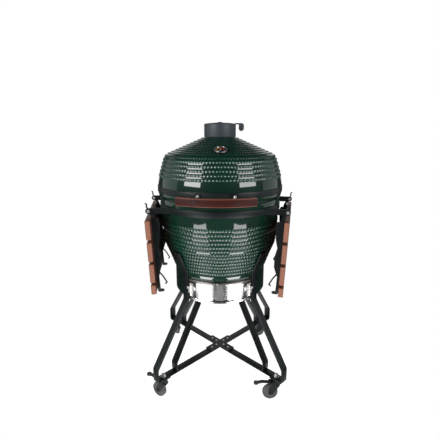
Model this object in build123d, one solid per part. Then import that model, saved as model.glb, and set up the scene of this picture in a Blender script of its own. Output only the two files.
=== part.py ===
from build123d import *
import os
from math import asin, atan2, cos, degrees, hypot, radians, sin, sqrt

# All sizes are millimetres. +Z is up, the front is -Y, and the origin is on the
# floor under the axis of the ceramic body. Azimuths are measured from the front,
# positive towards +X.

LOW = (Align.CENTER, Align.CENTER, Align.MIN)
DIAGONALS = (45, 135, 225, 315)    # azimuths of the four legs

# ---- fits and turns ----
GAP = 0.3                 # between neighbouring pieces
RUN = 0.05                # radial clearance of a turning shaft
BAND_TURN = -3.0          # the clamp bands sit this far round on the ceramic

# ---- gaskets ----
GASKET_T = 2.2
GASKET_W = 20.0

# ---- ceramic body ----
FOOT_R = 232.0            # outside of the cylindrical foot
FOOT_Z = 486.0            # underside of the foot
FOOT_TOP = 612.0          # where the bowl starts to flare
BELLY_R = 281.0           # bowl radius at the top of the flare
BELLY_Z = 740.0           # height of the top of the flare
BASE_RIM_R = 297.0        # bowl radius at its rim
BASE_RIM_Z = 973.5
WALL = 28.0               # bowl wall
FLOOR = 28.0              # bowl floor
LID_R = BASE_RIM_R + 8.5          # lid radius at its rim
LID_RIM_Z = BASE_RIM_Z + 2 * GASKET_T + 2 * GAP
LID_WALL = 26.0
SHOULDER_R = LID_R - 29.5         # where the side of the lid turns into the cone
SHOULDER_Z = LID_RIM_Z + 177.5
CONE_FOOT_R = LID_R - 49.5
CONE_FOOT_Z = SHOULDER_Z + 22.5
COLLAR_R = 82.0           # top edge of the cone
COLLAR_Z = CONE_FOOT_Z + 74.5
FLUE_R = 55.0             # hole through the top of the lid
DRAFT_HALF_AZ = 30.0      # half width of the draft hole
DRAFT_Z0 = FOOT_Z + 19.0
DRAFT_Z1 = FOOT_Z + 84.0

# ---- parts inside the bowl ----
FIREBOX_WALL = 22.0
FIREBOX_FOOT_R = FOOT_R - WALL - 14.0
FIREBOX_TOP_R = BELLY_R - WALL - 3.0
FIREBOX_Z1 = BASE_RIM_Z - 173.5
GRATE_Z = FOOT_TOP - 11.0         # underside of the charcoal grate
GRATE_R = FIREBOX_FOOT_R - FIREBOX_WALL - 18.0
RING_R = BELLY_R - WALL + 1.0
RING_Z1 = BASE_RIM_Z - 73.5
GRID_R = RING_R - 4.0
BAR_R = 3.0

# ---- bands ----
BAND_T = 3.0
LID_BAND_R = LID_R + 0.5 + GAP    # inside of the band on the lid's widest place
LID_BAND_Z0 = LID_RIM_Z + 21.5
LID_BAND_H = 27.0
BASE_BAND_R = BASE_RIM_R + GAP
BASE_BAND_Z0 = BASE_RIM_Z - 58.5
BASE_BAND_H = 29.0
BOLT_R = 4.0
NUT_R = 7.5

# ---- rear hinge ----
HINGE_Y = LID_R + 46.5    # pin behind the axis
HINGE_Z = LID_RIM_Z - 6.5
HINGE_PIN_R = 6.0
HINGE_LOBE_R = 15.0
LOWER_EAR_X = 62.0
UPPER_EAR_X = 52.0
EAR_T = 6.0
SPRING_R = 18.0
SPRING_WIRE_R = 2.5
HINGE_BOLT_AZ = (175.0, 185.0)
LOWER_BOLT_Z = BASE_BAND_Z0 + 13.0
UPPER_BOLT_Z = LID_BAND_Z0 + 14.0

# ---- handle ----
HANDLE_R = LID_R + 59.5   # front face of the grip
HANDLE_T = 24.0
HANDLE_H = 37.0
HANDLE_Z0 = LID_RIM_Z - 3.5
HANDLE_HALF_AZ = 28.8
HANDLE_BEVEL = 5.0
BRACKET_AZ = 14.5
BRACKET_BOLT_Z = LID_BAND_Z0 + 12.0
SCREW_Z = HANDLE_Z0 + 18.0
SCREW_R = 2.5
SCREW_HEAD_R = 5.2

# ---- top vent ----
CAP_R = 77.0
CAP_WALL = 6.0
CAP_TOP_Z = COLLAR_Z + 63.0       # upper edge of the turning cap
CAP_SPLIT_Z = CAP_TOP_Z - 6.0     # joint between the cup and the turning cap
CAP_CROWN = 6.5           # rise of the cap towards its middle
CAP_PLATE = 5.0           # slotted top of the cup
PETAL_COUNT = 4
PETAL_DEG = 38.0
VENT_PIVOT_R = 4.0
VENT_NUT_R = 11.0
LEVER_TOP_Z = CAP_TOP_Z + 4.4
LEVER_T = 6.2
LEVER_W = 10.0
HOOK_X = 103.5            # middle of the hanging grip
HOOK_R = 12.4
HOOK_Z = CAP_TOP_Z - 20.5         # middle of its round end
TANG_T = 4.0
TANG_W = 4.0

# ---- thermometer ----
THERMO_R = 216.0          # distance of its centre from the axis, on the cone
THERMO_CASE_R = 30.0
THERMO_CASE_H = 14.0
THERMO_AZ = 0.6
PROBE_R = 4.0

# ---- draft door ----
FRAME_R1 = FOOT_R + 6.2   # outside of the steel frame
FRAME_Z0 = FOOT_Z + 2.0
FRAME_Z1 = FOOT_Z + 106.0
RAIL_TOP_H = 15.0
RAIL_LOW_H = 12.0
FRAME_HALF_AZ = 38.3
STILE_DEG = 6.6
DOOR_T = 1.2
DOOR_INNER_R = FOOT_R + 1.0       # back of the door in the rear track
DOOR_OUTER_R = FOOT_R + 3.2       # back of the door in the front track
DOOR_DEG = 34.0
LATCH_AZ = 35.3
LATCH_PIN_R = 2.0

# ---- stand ----
STRIP_W = 40.0
STRIP_T = 6.0
WHEEL_R = 37.5
CASTER_S = 276.0          # swivel axis of a caster, in X and in Y
LEG_R = FOOT_R + GAP + STRIP_T / 2
LEG_BEND_Z = FOOT_Z - 12.0        # where the leg leaves the foot
LEG_END_R = CASTER_S * sqrt(2) + 41.7   # upright end of the leg
LEG_TAB = 70.0            # foot tab under the cross brace
ARM_TOP_R = BELLY_R + 5.5         # top of the arm that hugs the bowl
ARM_TOP_Z = BELLY_Z - 10.0
BRACE_Z0 = 2 * WHEEL_R + 37.0     # underside of the cross brace
LEG_KNEE_Z = BRACE_Z0 + 66.0
STRUT_TOP_R = 131.0
STRUT_LOW_R = LEG_END_R - 111.0
STRUT_KNEE_Z = BRACE_Z0 + 50.0
RING_IN_R = 112.0
RING_OUT_R = FOOT_R - 17.0
HUB_REACH = 86.0
HUB_W = 48.0

# ---- casters ----
WHEEL_W = 24.0
TRAIL = 30.0
STEM_R = 6.0
AXLE_R = 4.0
FORK_T = 3.0
PEDALS = ("fl", "fr")
PEDAL_X = 30.0
PEDAL_Z = 2 * WHEEL_R + 10.0
PEDAL_PIN_R = 3.0
CASTERS = {"fl": (-1, -1, 145.0), "fr": (1, -1, 184.0), "rl": (-1, 1, 92.0), "rr": (1, 1, 172.0)}

# ---- side shelves ----
SHELF_AZ = 81.0           # the shelves stand a little forward of the sides
PIVOT_X = BASE_RIM_R + 48.0       # pivot distance from the axis
PIVOT_Z = BASE_BAND_Z0 + 15.0
PIVOT_T = 172.0           # half the distance between the brackets
PLATE_T = 4.0
PIN_R = 4.0
LOBE_R = 13.0
SHELF_FIN_AZ = degrees(asin(PIVOT_T / (BASE_BAND_R + BAND_T + GAP)))
SHELF_PAD_STEP = SHELF_FIN_AZ - 5.4
SHELF_BOLT_STEPS = (SHELF_FIN_AZ - 8.3, SHELF_FIN_AZ - 4.9)
SHELF_LEAN = 2.6          # degrees inwards at the bottom
SLAT_L = 500.0
SLAT_T = 23.0
SLAT_FACE = 12.6          # outer face of the slats, outboard of the pivot
SLAT_DROP = 28.0          # top edge of the first slat, below the pivot
SLATS = (88.0, 88.0, 88.0, 44.0)
SLAT_GAP = 13.0
ARM_X1 = PIVOT_X + SLAT_FACE - SLAT_T - GAP   # outer edge of the arms, on the boards' backs


def keep(name, *shapes):
    """Write one piece as its own file."""
    solids = []
    for shape in shapes:
        solids.extend(shape.solids())
    whole = solids[0] if len(solids) == 1 else Compound(solids)
    whole.label = name
    export_step(whole, f"parts/{name}.step")


def at_az(shape, az):
    """Turn a shape drawn towards +X so that it points to an azimuth."""
    return Rot(0, 0, az - 90) * shape


def turned(shape):
    """Turn a shape with the bands."""
    return Rot(0, 0, BAND_TURN) * shape


def outline(points):
    return make_face(Polyline(*[(x, 0, z) for x, z in points], close=True))


def plate(points, y0, y1):
    """A flat plate: an X-Z outline between two Y planes."""
    return Pos(0, y0, 0) * extrude(outline(points), amount=y1 - y0, dir=(0, 1, 0))


def lathe(points):
    return revolve(outline(points), Axis.Z)


def sector(r0, r1, z0, z1, az0, az1):
    """A block of a ring between two azimuths."""
    face = outline([(r0, z0), (r1, z0), (r1, z1), (r0, z1)])
    return at_az(revolve(face, Axis.Z, revolution_arc=az1 - az0), az0)


def rod(start, end, radius):
    """A round bar between two points."""
    a = Vector(*start)
    b = Vector(*end)
    return Plane(origin=a, z_dir=b - a) * Cylinder(radius, (b - a).length, align=LOW)


def ribbon(points, thick):
    """Outline at half a thickness each side of an open line, with mitred bends."""
    left = []
    right = []
    last = len(points) - 1
    for i, (x, z) in enumerate(points):
        x0, z0 = points[max(i - 1, 0)]
        x1, z1 = points[min(i + 1, last)]
        if i == 0:
            x0, z0 = 2 * x - x1, 2 * z - z1
        if i == last:
            x1, z1 = 2 * x - x0, 2 * z - z0
        a = hypot(x - x0, z - z0)
        b = hypot(x1 - x, z1 - z)
        ux, uz = (x - x0) / a, (z - z0) / a
        vx, vz = (x1 - x) / b, (z1 - z) / b
        m = hypot(ux + vx, uz + vz)
        nx, nz = -(uz + vz) / m, (ux + vx) / m
        k = thick / 2 / (nz * ux - nx * uz)
        left.append((x + nx * k, z + nz * k))
        right.append((x - nx * k, z - nz * k))
    return left + right[::-1]


def strip(points, width=STRIP_W, thick=STRIP_T):
    """A flat steel strip bent along a line in the X-Z plane."""
    return plate(ribbon(points, thick), -width / 2, width / 2)


def lobe(x, z, radius, steps=20, start=0.0, sweep=360.0):
    """Points round an arc in the X-Z plane."""
    angles = [radians(start + sweep * i / steps) for i in range(steps + 1)]
    return [(x + radius * cos(a), z + radius * sin(a)) for a in angles]


def disc(x, z, radius, y0, y1):
    """A short round plate with its axis along Y."""
    return Pos(x, y0, z) * Rot(-90, 0, 0) * Cylinder(radius, y1 - y0, align=LOW)


def acorn_nut(radius, height):
    """A domed nut standing on z = 0, pointing up."""
    hexagon = extrude(RegularPolygon(radius, 6), amount=height * 0.55)
    dome = Pos(0, 0, height * 0.5) * Cylinder(radius * 0.8, height * 0.25, align=LOW)
    cap = Pos(0, 0, height * 0.75) * Cone(radius * 0.8, radius * 0.35, height * 0.25, align=LOW)
    return hexagon + dome + cap


def bolt_at(r0, r1, z, az, radius=BOLT_R):
    """A radial bolt from r0 out to r1 with a domed nut at its outer end."""
    shank = rod((r0, 0, z), (r1 + 1, 0, z), radius)
    nut = Pos(r1, 0, z) * Rot(0, 90, 0) * acorn_nut(NUT_R, 9)
    return at_az(shank + nut, az)


# ---------------------------------------------------------------- ceramic

def bowl_radius(z):
    """Outside radius of the bowl above the flare."""
    return BELLY_R + (BASE_RIM_R - BELLY_R) * ((z - BELLY_Z) / (BASE_RIM_Z - BELLY_Z)) ** 0.6


def base_bowl():
    upper = [(bowl_radius(BELLY_Z + up), BELLY_Z + up) for up in (20, 50, 90, 130, 170, 210)]
    outer = [(FOOT_R - 6, FOOT_Z), (FOOT_R, FOOT_Z + 6), (FOOT_R, FOOT_TOP)]
    outer += [(FOOT_R + 15, FOOT_TOP + 43), (FOOT_R + 32, FOOT_TOP + 88), (BELLY_R, BELLY_Z)] + upper
    outer += [(BASE_RIM_R, BASE_RIM_Z - 6), (BASE_RIM_R - 5, BASE_RIM_Z)]
    inner = [(BASE_RIM_R - WALL, BASE_RIM_Z)]
    inner += [(bowl_radius(BELLY_Z + up) - WALL, BELLY_Z + up) for up in (130, 50)]
    inner += [(BELLY_R - WALL, BELLY_Z + 8)]
    inner += [(FOOT_R - WALL, FOOT_TOP + 8), (FOOT_R - WALL, FOOT_Z + FLOOR), (0, FOOT_Z + FLOOR)]
    bowl = lathe(outer + inner + [(0, FOOT_Z)])
    hole = sector(FOOT_R - WALL - 20, FOOT_R + 20, DRAFT_Z0, DRAFT_Z1, -DRAFT_HALF_AZ, DRAFT_HALF_AZ)
    floor_lip = sector(0, FOOT_R + 1, DRAFT_Z0, FOOT_Z + FLOOR + 0.01, -DRAFT_HALF_AZ, DRAFT_HALF_AZ)
    return bowl - hole + (floor_lip & bowl)


def cone_z(r):
    """Height of the outside of the lid's cone."""
    return CONE_FOOT_Z + (CONE_FOOT_R - r) * (COLLAR_Z - CONE_FOOT_Z) / (CONE_FOOT_R - COLLAR_R)


def cone_angle():
    return degrees(atan2(COLLAR_Z - CONE_FOOT_Z, CONE_FOOT_R - COLLAR_R))


def lid_dome():
    z0 = LID_RIM_Z
    side = [(LID_R, z0 + 8), (LID_R + 0.5, z0 + 41.5), (LID_R - 1.5, z0 + 73.5), (LID_R - 7, z0 + 103.5)]
    side += [(LID_R - 18.5, z0 + 140.5), (SHOULDER_R, SHOULDER_Z)]
    shoulder = [(SHOULDER_R - 3, SHOULDER_Z + 8.5), (SHOULDER_R - 8.5, SHOULDER_Z + 15.5)]
    shoulder += [(CONE_FOOT_R, CONE_FOOT_Z)]
    outer = [(LID_R - 4, LID_RIM_Z)] + side + shoulder + [(COLLAR_R, COLLAR_Z)]
    inner = [(FLUE_R, COLLAR_Z), (FLUE_R, COLLAR_Z - LID_WALL), (COLLAR_R, COLLAR_Z - LID_WALL - 3)]
    inner += [(CONE_FOOT_R - 14, CONE_FOOT_Z - LID_WALL - 2), (SHOULDER_R - LID_WALL, SHOULDER_Z - 18)]
    inner += [(LID_R - 18.5 - LID_WALL, z0 + 121.5), (LID_R - LID_WALL, z0 + 61.5), (LID_R - LID_WALL, z0)]
    dome = lathe(outer + inner)
    return dome - thermo_place(Cylinder(PROBE_R + 1, 120))


def gasket(z):
    r1 = BASE_RIM_R - 5.5
    return Pos(0, 0, z) * (Cylinder(r1, GASKET_T, align=LOW) - Cylinder(r1 - GASKET_W, GASKET_T, align=LOW))


def fire_box():
    r = FIREBOX_FOOT_R
    z0 = FOOT_Z + FLOOR + GAP
    floor_z = GRATE_Z - GAP
    outer = [(r, z0), (r, FOOT_TOP - 8), (FIREBOX_TOP_R - 9, BELLY_Z), (FIREBOX_TOP_R, FIREBOX_Z1)]
    w = FIREBOX_WALL
    inner = [(FIREBOX_TOP_R - w, FIREBOX_Z1), (FIREBOX_TOP_R - 9 - w, BELLY_Z + 6), (r - w, FOOT_TOP)]
    inner += [(r - w, floor_z), (60, floor_z), (60, floor_z - 22), (r - w, floor_z - 22), (r - w, z0)]
    box = lathe(outer + inner)
    window = sector(r - w - 10, r + 10, z0 - 1, DRAFT_Z1 + 2, -DRAFT_HALF_AZ, DRAFT_HALF_AZ)
    hole_r = GRATE_R - 50
    hole_z = (FOOT_TOP + BELLY_Z) / 2 + 14
    vent = rod((hole_r, 0, floor_z - 40), (hole_r, 0, floor_z + 20), 14)
    side = rod((r - 40, 0, hole_z), (r + 90, 0, hole_z), 11)
    return box - window - [at_az(vent + side, az) for az in range(0, 360, 45)]


def fire_ring():
    z0 = FIREBOX_Z1 + GAP
    r = RING_R
    points = [(r - 4, z0), (r, z0 + 8), (r + 2, RING_Z1), (r - 22, RING_Z1), (r - 26, z0)]
    return lathe(points)


def bar_grate(radius, bar, z, pitch, rim):
    """Parallel round bars inside a round rim, over one cross bar."""
    reach = radius - rim
    c = rim * cos(radians(22.5))
    d = rim * sin(radians(22.5))
    ring = [(c, d), (d, c), (-d, c), (-c, d), (-c, -d), (-d, -c), (d, -c), (c, -d)]
    grate = lathe([(reach + x, z + y) for x, y in ring])
    count = int(radius / pitch)
    for i in range(-count, count + 1):
        x = i * pitch
        if abs(x) < reach - 8:
            y = sqrt(reach**2 - x**2)
            grate += rod((x, -y, z), (x, y, z), bar)
    return grate + rod((-reach, 0, z - 1.5 * bar), (reach, 0, z - 1.5 * bar), bar)


def charcoal_grate():
    """A round cast plate with rows of slots."""
    body = Pos(0, 0, GRATE_Z) * Cylinder(GRATE_R, 8, align=LOW)
    slots = []
    for i in range(-5, 6):
        x = i * 23.0
        half = sqrt((GRATE_R - 14) ** 2 - x**2)
        for y0, y1 in ((-half, -6), (6, half)):
            slots.append(Pos(x, (y0 + y1) / 2, GRATE_Z) * Box(11, y1 - y0, 30))
    return body - slots


def cooking_grid():
    return bar_grate(GRID_R, BAR_R, RING_Z1 + GAP + 2.5 * BAR_R, 17.0, 4.5)


# ---------------------------------------------------------------- bands and hinge

def band(r, z0, height):
    return Pos(0, 0, z0) * (Cylinder(r + BAND_T, height, align=LOW) - Cylinder(r, height, align=LOW))


def strap(r, z0, z1, az, half, thick=4.0):
    """A bent pad lying on a band."""
    return sector(r, r + thick, z0, z1, az - half, az + half)


def hinge_ear(x, r_strap, z_low, z_high, bore):
    """An ear in a Y-Z plane at the rear, from its pad to the hinge pin."""
    arc = lobe(HINGE_Y, HINGE_Z, HINGE_LOBE_R, 16, -90, 180)
    root = r_strap - 3
    points = [(root, z_low)] + arc + [(root, z_high)]
    ear = plate(points, -EAR_T / 2, EAR_T / 2)
    ear -= disc(HINGE_Y, HINGE_Z, bore, -EAR_T, EAR_T)
    return Pos(x, 0, 0) * at_az(ear, 180)


def hinge_lower():
    r = BASE_BAND_R + BAND_T + GAP
    z0 = BASE_BAND_Z0
    body = strap(r, z0 - 13, z0 + 37, 180, 14.5)
    for side in (-1, 1):
        body += hinge_ear(side * LOWER_EAR_X, r + 1, z0 - 9, z0 + 35, HINGE_PIN_R + RUN)
    for az in HINGE_BOLT_AZ:
        body -= at_az(rod((r - 5, 0, LOWER_BOLT_Z), (r + 9, 0, LOWER_BOLT_Z), BOLT_R + RUN), az)
    return turned(body - Pos(0, 0, z0 - 65) * Cylinder(r, 200, align=LOW))


def hinge_upper():
    r = LID_BAND_R + BAND_T + GAP
    z0 = LID_BAND_Z0
    body = strap(r, z0 - 10, z0 + 38, 180, 12.0)
    for side in (-1, 1):
        body += hinge_ear(side * UPPER_EAR_X, r + 1, z0 - 6, z0 + 36, HINGE_PIN_R + RUN)
    for az in HINGE_BOLT_AZ:
        body -= at_az(rod((r - 5, 0, UPPER_BOLT_Z), (r + 9, 0, UPPER_BOLT_Z), BOLT_R + RUN), az)
    return turned(body - Pos(0, 0, z0 - 50) * Cylinder(r, 200, align=LOW))


def hinge_pin():
    half = LOWER_EAR_X + EAR_T / 2
    pin = rod((-half - 5, HINGE_Y, HINGE_Z), (half + 5, HINGE_Y, HINGE_Z), HINGE_PIN_R)
    for side in (-1, 1):
        x0 = side * (half + GAP)
        pin += rod((x0, HINGE_Y, HINGE_Z), (x0 + side * 5, HINGE_Y, HINGE_Z), 10)
    return turned(pin)


def hinge_springs():
    """Two torsion coils round the pin, each with a leg down to the lower bracket."""
    coils = []
    pad_r = BASE_BAND_R + BAND_T + 4.3 + SPRING_WIRE_R / 2
    for x in (-45, 13):
        path = Helix(pitch=SPRING_WIRE_R * 2 + 1.2, height=30, radius=SPRING_R)
        ring = Plane(origin=path @ 0, z_dir=path % 0) * Circle(SPRING_WIRE_R)
        coil = Pos(x, HINGE_Y, HINGE_Z) * Rot(0, 90, 0) * sweep(ring, path=path)
        foot = (x, sqrt(pad_r**2 - x**2), BASE_BAND_Z0 + 15)
        coil += rod((x, HINGE_Y + 3, HINGE_Z - SPRING_R), foot, SPRING_WIRE_R)
        coils.append(turned(coil))
    return coils


def band_bolts(r_band, places):
    """Bolts through a band at (azimuth, height) places."""
    r0 = r_band + BAND_T + 0.5
    return [turned(bolt_at(r0, r0 + 4.2, z, az)) for az, z in places]


def lid_band_bolts():
    places = [(side * BRACKET_AZ, BRACKET_BOLT_Z) for side in (1, -1)]
    places += [(az, UPPER_BOLT_Z) for az in HINGE_BOLT_AZ]
    return band_bolts(LID_BAND_R, places)


def base_band_bolts():
    places = [(az, LOWER_BOLT_Z) for az in HINGE_BOLT_AZ]
    for centre in (SHELF_AZ, -SHELF_AZ):
        for side in (-1, 1):
            places += [(centre + side * step, PIVOT_Z) for step in SHELF_BOLT_STEPS]
    return band_bolts(BASE_BAND_R, places)


# ---------------------------------------------------------------- handle

def handle_grip():
    r0 = HANDLE_R - HANDLE_T
    r1 = HANDLE_R
    z0 = HANDLE_Z0
    z1 = HANDLE_Z0 + HANDLE_H
    b = HANDLE_BEVEL
    points = [(r0 + b, z0), (r1 - b, z0), (r1, z0 + b), (r1, z1 - b)]
    points += [(r1 - b, z1), (r0 + b, z1), (r0, z1 - b), (r0, z0 + b)]
    arc = 2 * HANDLE_HALF_AZ
    grip = at_az(revolve(outline(points), Axis.Z, revolution_arc=arc), -HANDLE_HALF_AZ)
    for side in (-1, 1):
        screw = rod((r0 - 5, 0, SCREW_Z), (r1 + 5, 0, SCREW_Z), SCREW_R)
        sink = rod((r1 - 6, 0, SCREW_Z), (r1 + 5, 0, SCREW_Z), SCREW_HEAD_R + GAP)
        grip -= at_az(screw + sink, side * BRACKET_AZ)
    return turned(grip)


def handle_brackets():
    """Two bent straps from the lid band to the back of the grip."""
    parts = []
    r0 = LID_BAND_R + BAND_T + GAP + 2
    back = HANDLE_R - HANDLE_T - 2 * GAP - 2
    low = HANDLE_Z0 + 9
    line = [(r0, LID_BAND_Z0 + LID_BAND_H), (r0, low), (back, low), (back, low + 24)]
    for side in (-1, 1):
        piece = strip(line, 26, 4)
        piece -= rod((r0 - 5, 0, BRACKET_BOLT_Z), (r0 + 5, 0, BRACKET_BOLT_Z), BOLT_R + RUN)
        piece -= rod((back - 5, 0, SCREW_Z), (back + 5, 0, SCREW_Z), SCREW_R)
        parts.append(turned(at_az(piece, side * BRACKET_AZ)))
    return parts


def handle_screws():
    """Screws with sunk heads and a flat nut behind each bracket."""
    parts = []
    r0 = HANDLE_R - HANDLE_T
    r1 = HANDLE_R - 6 + GAP
    for side in (-1, 1):
        screw = rod((r0 - 7, 0, SCREW_Z), (r1, 0, SCREW_Z), SCREW_R - RUN)
        screw += rod((r1 - 0.3, 0, SCREW_Z), (r1 + 2.4, 0, SCREW_Z), SCREW_HEAD_R)
        screw += rod((r0 - 8.5, 0, SCREW_Z), (r0 - 4.9, 0, SCREW_Z), 5)
        parts.append(turned(at_az(screw, side * BRACKET_AZ)))
    return parts


# ---------------------------------------------------------------- top vent

def petals(r0, r1, z0, z1, start):
    step = 360.0 / PETAL_COUNT
    starts = [start + i * step for i in range(PETAL_COUNT)]
    return [sector(r0, r1, z0, z1, az, az + PETAL_DEG) for az in starts]


def vent_base():
    """An upright cup standing on the collar, with a slotted top."""
    z0 = COLLAR_Z + GAP
    top = CAP_SPLIT_Z - GAP
    r = CAP_R - CAP_WALL
    inner = [(VENT_PIVOT_R, top), (VENT_PIVOT_R, top - CAP_PLATE), (r, top - CAP_PLATE), (r, z0 + 6)]
    inner += [(FLUE_R + 3, z0 + 6), (FLUE_R + 3, z0)]
    body = lathe([(CAP_R - 4, z0), (CAP_R - 1.2, z0 + 1.2), (CAP_R, z0 + 4), (CAP_R, top)] + inner)
    return body - petals(18, r - 6, top - CAP_PLATE - 3, top + 3, 26)


def lever_blade():
    """A flat bar off the cap's edge that turns down at its end."""
    under = LEVER_TOP_Z - LEVER_T
    low = HOOK_Z + HOOK_R
    bend = lobe(HOOK_X, LEVER_TOP_Z - HOOK_R, HOOK_R, 8, 0, 90)
    inside = HOOK_X - HOOK_R
    points = [(CAP_R - 3, under), (inside - 3, under), (inside, under - 3), (inside, low)]
    points += [(HOOK_X + HOOK_R, low)] + bend + [(CAP_R - 3, LEVER_TOP_Z)]
    return plate(points, -LEVER_W / 2, LEVER_W / 2)


def lever_tang(grow=0.0):
    """The tongue under the bend that the grip is pushed onto."""
    half = TANG_T / 2 + grow
    z0 = HOOK_Z - grow
    z1 = HOOK_Z + HOOK_R + 1
    points = [(HOOK_X - half, z0), (HOOK_X + half, z0), (HOOK_X + half, z1), (HOOK_X - half, z1)]
    return plate(points, -TANG_W / 2 - grow, TANG_W / 2 + grow)


def vent_disc():
    """The domed cap that turns on the cup, with its lever."""
    b = VENT_PIVOT_R + RUN
    z = CAP_TOP_Z
    low = CAP_SPLIT_Z
    crown = [(CAP_R - 17, z + 0.52 * CAP_CROWN), (CAP_R - 42, z + 0.86 * CAP_CROWN), (12, z + CAP_CROWN)]
    rim = [(CAP_R, low), (CAP_R, z - 1), (CAP_R - 2, z + 0.8)]
    body = lathe(rim + crown + [(b, z + CAP_CROWN), (b, low)])
    body -= petals(18, CAP_R - CAP_WALL - 9, low - 2, z + CAP_CROWN + 2, 71)
    return body + at_az(lever_blade() + lever_tang(), 90)


def vent_knob():
    """The round-ended grip that hangs from the lever."""
    top = HOOK_Z + HOOK_R - GAP
    end = lobe(HOOK_X, HOOK_Z, HOOK_R, 16, 180, 180)
    grip = plate([(HOOK_X - HOOK_R, top)] + end + [(HOOK_X + HOOK_R, top)], -LEVER_W / 2, LEVER_W / 2)
    return at_az(grip - lever_tang(GAP), 90)


def vent_pivot():
    """The pin through cup and cap, with its nut on top."""
    under = CAP_SPLIT_Z - GAP - CAP_PLATE
    top = CAP_TOP_Z + CAP_CROWN + GAP
    pin = rod((0, 0, under - 7), (0, 0, top + 1), VENT_PIVOT_R)
    pin += Pos(0, 0, top) * extrude(RegularPolygon(VENT_NUT_R, 6), amount=2.6)
    return pin + rod((0, 0, under - 7), (0, 0, under - GAP), 8)


# ---------------------------------------------------------------- thermometer

def thermo_place(shape):
    """Put a shape drawn on z = 0 onto the lid's cone."""
    stand_on = Pos(THERMO_R, 0, cone_z(THERMO_R)) * Rot(0, 90 - (90 - cone_angle()), 0)
    return at_az(stand_on * shape, THERMO_AZ)


def thermo_case():
    r = THERMO_CASE_R
    h = THERMO_CASE_H
    points = [(PROBE_R, GAP), (r - 3, GAP), (r, 4), (r, h - 2), (r - 2, h)]
    return thermo_place(lathe(points + [(r - 5, h), (r - 5, 5), (PROBE_R, 5)]))


def thermo_dial():
    r = THERMO_CASE_R - 5 - GAP
    return thermo_place(Pos(0, 0, 5 + GAP) * (Cylinder(r, 1, align=LOW) - Cylinder(2.2, 1, align=LOW)))


def thermo_needle():
    z = 7.0
    face = make_face(Polyline((-6, -1.6), (17, -0.5), (17, 0.5), (-6, 1.6), close=True))
    blade = Pos(0, 0, z) * extrude(face, 0.8)
    hub = Pos(0, 0, 5.4) * Cylinder(2.0, 3.4, align=LOW)
    return thermo_place(Rot(0, 0, -50) * (blade + hub))


def thermo_lens():
    r = THERMO_CASE_R - 5 - GAP
    return thermo_place(Pos(0, 0, 10) * Cylinder(r, 2, align=LOW))


def thermo_probe():
    stem = Pos(0, 0, -85) * Cylinder(PROBE_R - RUN, 89, align=LOW)
    nut = Pos(0, 0, -LID_WALL - 13) * extrude(RegularPolygon(9, 6), amount=6)
    return thermo_place(stem + nut)


# ---------------------------------------------------------------- draft door

def draft_frame():
    r0 = FOOT_R + GAP
    a = FRAME_HALF_AZ
    top = sector(r0, FRAME_R1, FRAME_Z1 - RAIL_TOP_H, FRAME_Z1, -a, a)
    low = sector(r0, FRAME_R1, FRAME_Z0, FRAME_Z0 + RAIL_LOW_H, -a, a)
    body = top + low
    for side in (-1, 1):
        inner = side * (a - STILE_DEG)
        body += sector(r0, FRAME_R1, FRAME_Z0, FRAME_Z1, min(inner, side * a), max(inner, side * a))
    g = 0.4
    reach = a - 1.5
    z0 = FRAME_Z0 + 4
    z1 = FRAME_Z1 - 6
    for r in (DOOR_INNER_R, DOOR_OUTER_R):
        body -= sector(r - g, r + DOOR_T + g, z0, z1, -reach, reach)
    lip = sector(FRAME_R1 - 1, FRAME_R1 + 3, FRAME_Z0, FRAME_Z0 + 3, -a, a)
    return body + lip


def draft_door(inner):
    r = DOOR_INNER_R if inner else DOOR_OUTER_R
    az0 = -3.3 if inner else -29.6
    az1 = az0 + DOOR_DEG
    door = sector(r, r + DOOR_T, FRAME_Z0 + 4 + GAP, FRAME_Z1 - 6 - GAP, az0, az1)
    if not inner:
        z0 = FRAME_Z0 + RAIL_LOW_H + 2
        z1 = FRAME_Z1 - RAIL_TOP_H - 2
        door += sector(r, r + 5, z0, z1, az1 - 0.5, az1)
    return door


def draft_screw():
    """The small screw in the middle of the top rail."""
    z = FRAME_Z1 - 7
    return at_az(rod((FRAME_R1 + GAP, 0, z), (FRAME_R1 + 2.5, 0, z), 4), BAND_TURN)


def latch_plates():
    """Riveted base plates with two knuckles each."""
    r0 = FRAME_R1 + GAP
    z0 = FRAME_Z0 + 17
    parts = []
    for side in (-1, 1):
        body = plate([(r0, z0), (r0 + 1.8, z0), (r0 + 1.8, z0 + 67), (r0, z0 + 67)], -10, 10)
        for z in (z0 + 8, z0 + 53):
            knuckle = Pos(r0 + 6, 0, z) * Cylinder(4.5, 7, align=LOW)
            root = Pos(r0 + 3, 0, z + 3.5) * Box(5, 9, 7)
            body += knuckle + root - Pos(r0 + 6, 0, z) * Cylinder(LATCH_PIN_R + RUN, 7, align=LOW)
        parts.append(at_az(body, side * LATCH_AZ))
    return parts


def latch_lever(side):
    """A short lever on an upright pin, with a round thumb head towards the leg."""
    r0 = FRAME_R1 + GAP
    z0 = FRAME_Z0 + 17
    pin = Pos(r0 + 6, 0, z0 + 6) * Cylinder(LATCH_PIN_R, 56, align=LOW)
    barrel = Pos(r0 + 6, 0, z0 + 15 + GAP) * Cylinder(4.2, 38 - 2 * GAP, align=LOW)
    out = Pos(r0 + 8, side * 5, z0 + 35) * Box(2.4, 12, 30)
    head = Pos(r0 + 9, side * 12, z0 + 46) * Rot(0, 90, 0) * Cylinder(6.5, 5)
    neck = rod((r0 + 7, 0, z0 + 46), (r0 + 9, side * 8, z0 + 46), 2.5)
    return at_az(pin + barrel + out + head + neck, side * LATCH_AZ)


# ---------------------------------------------------------------- stand

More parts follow.
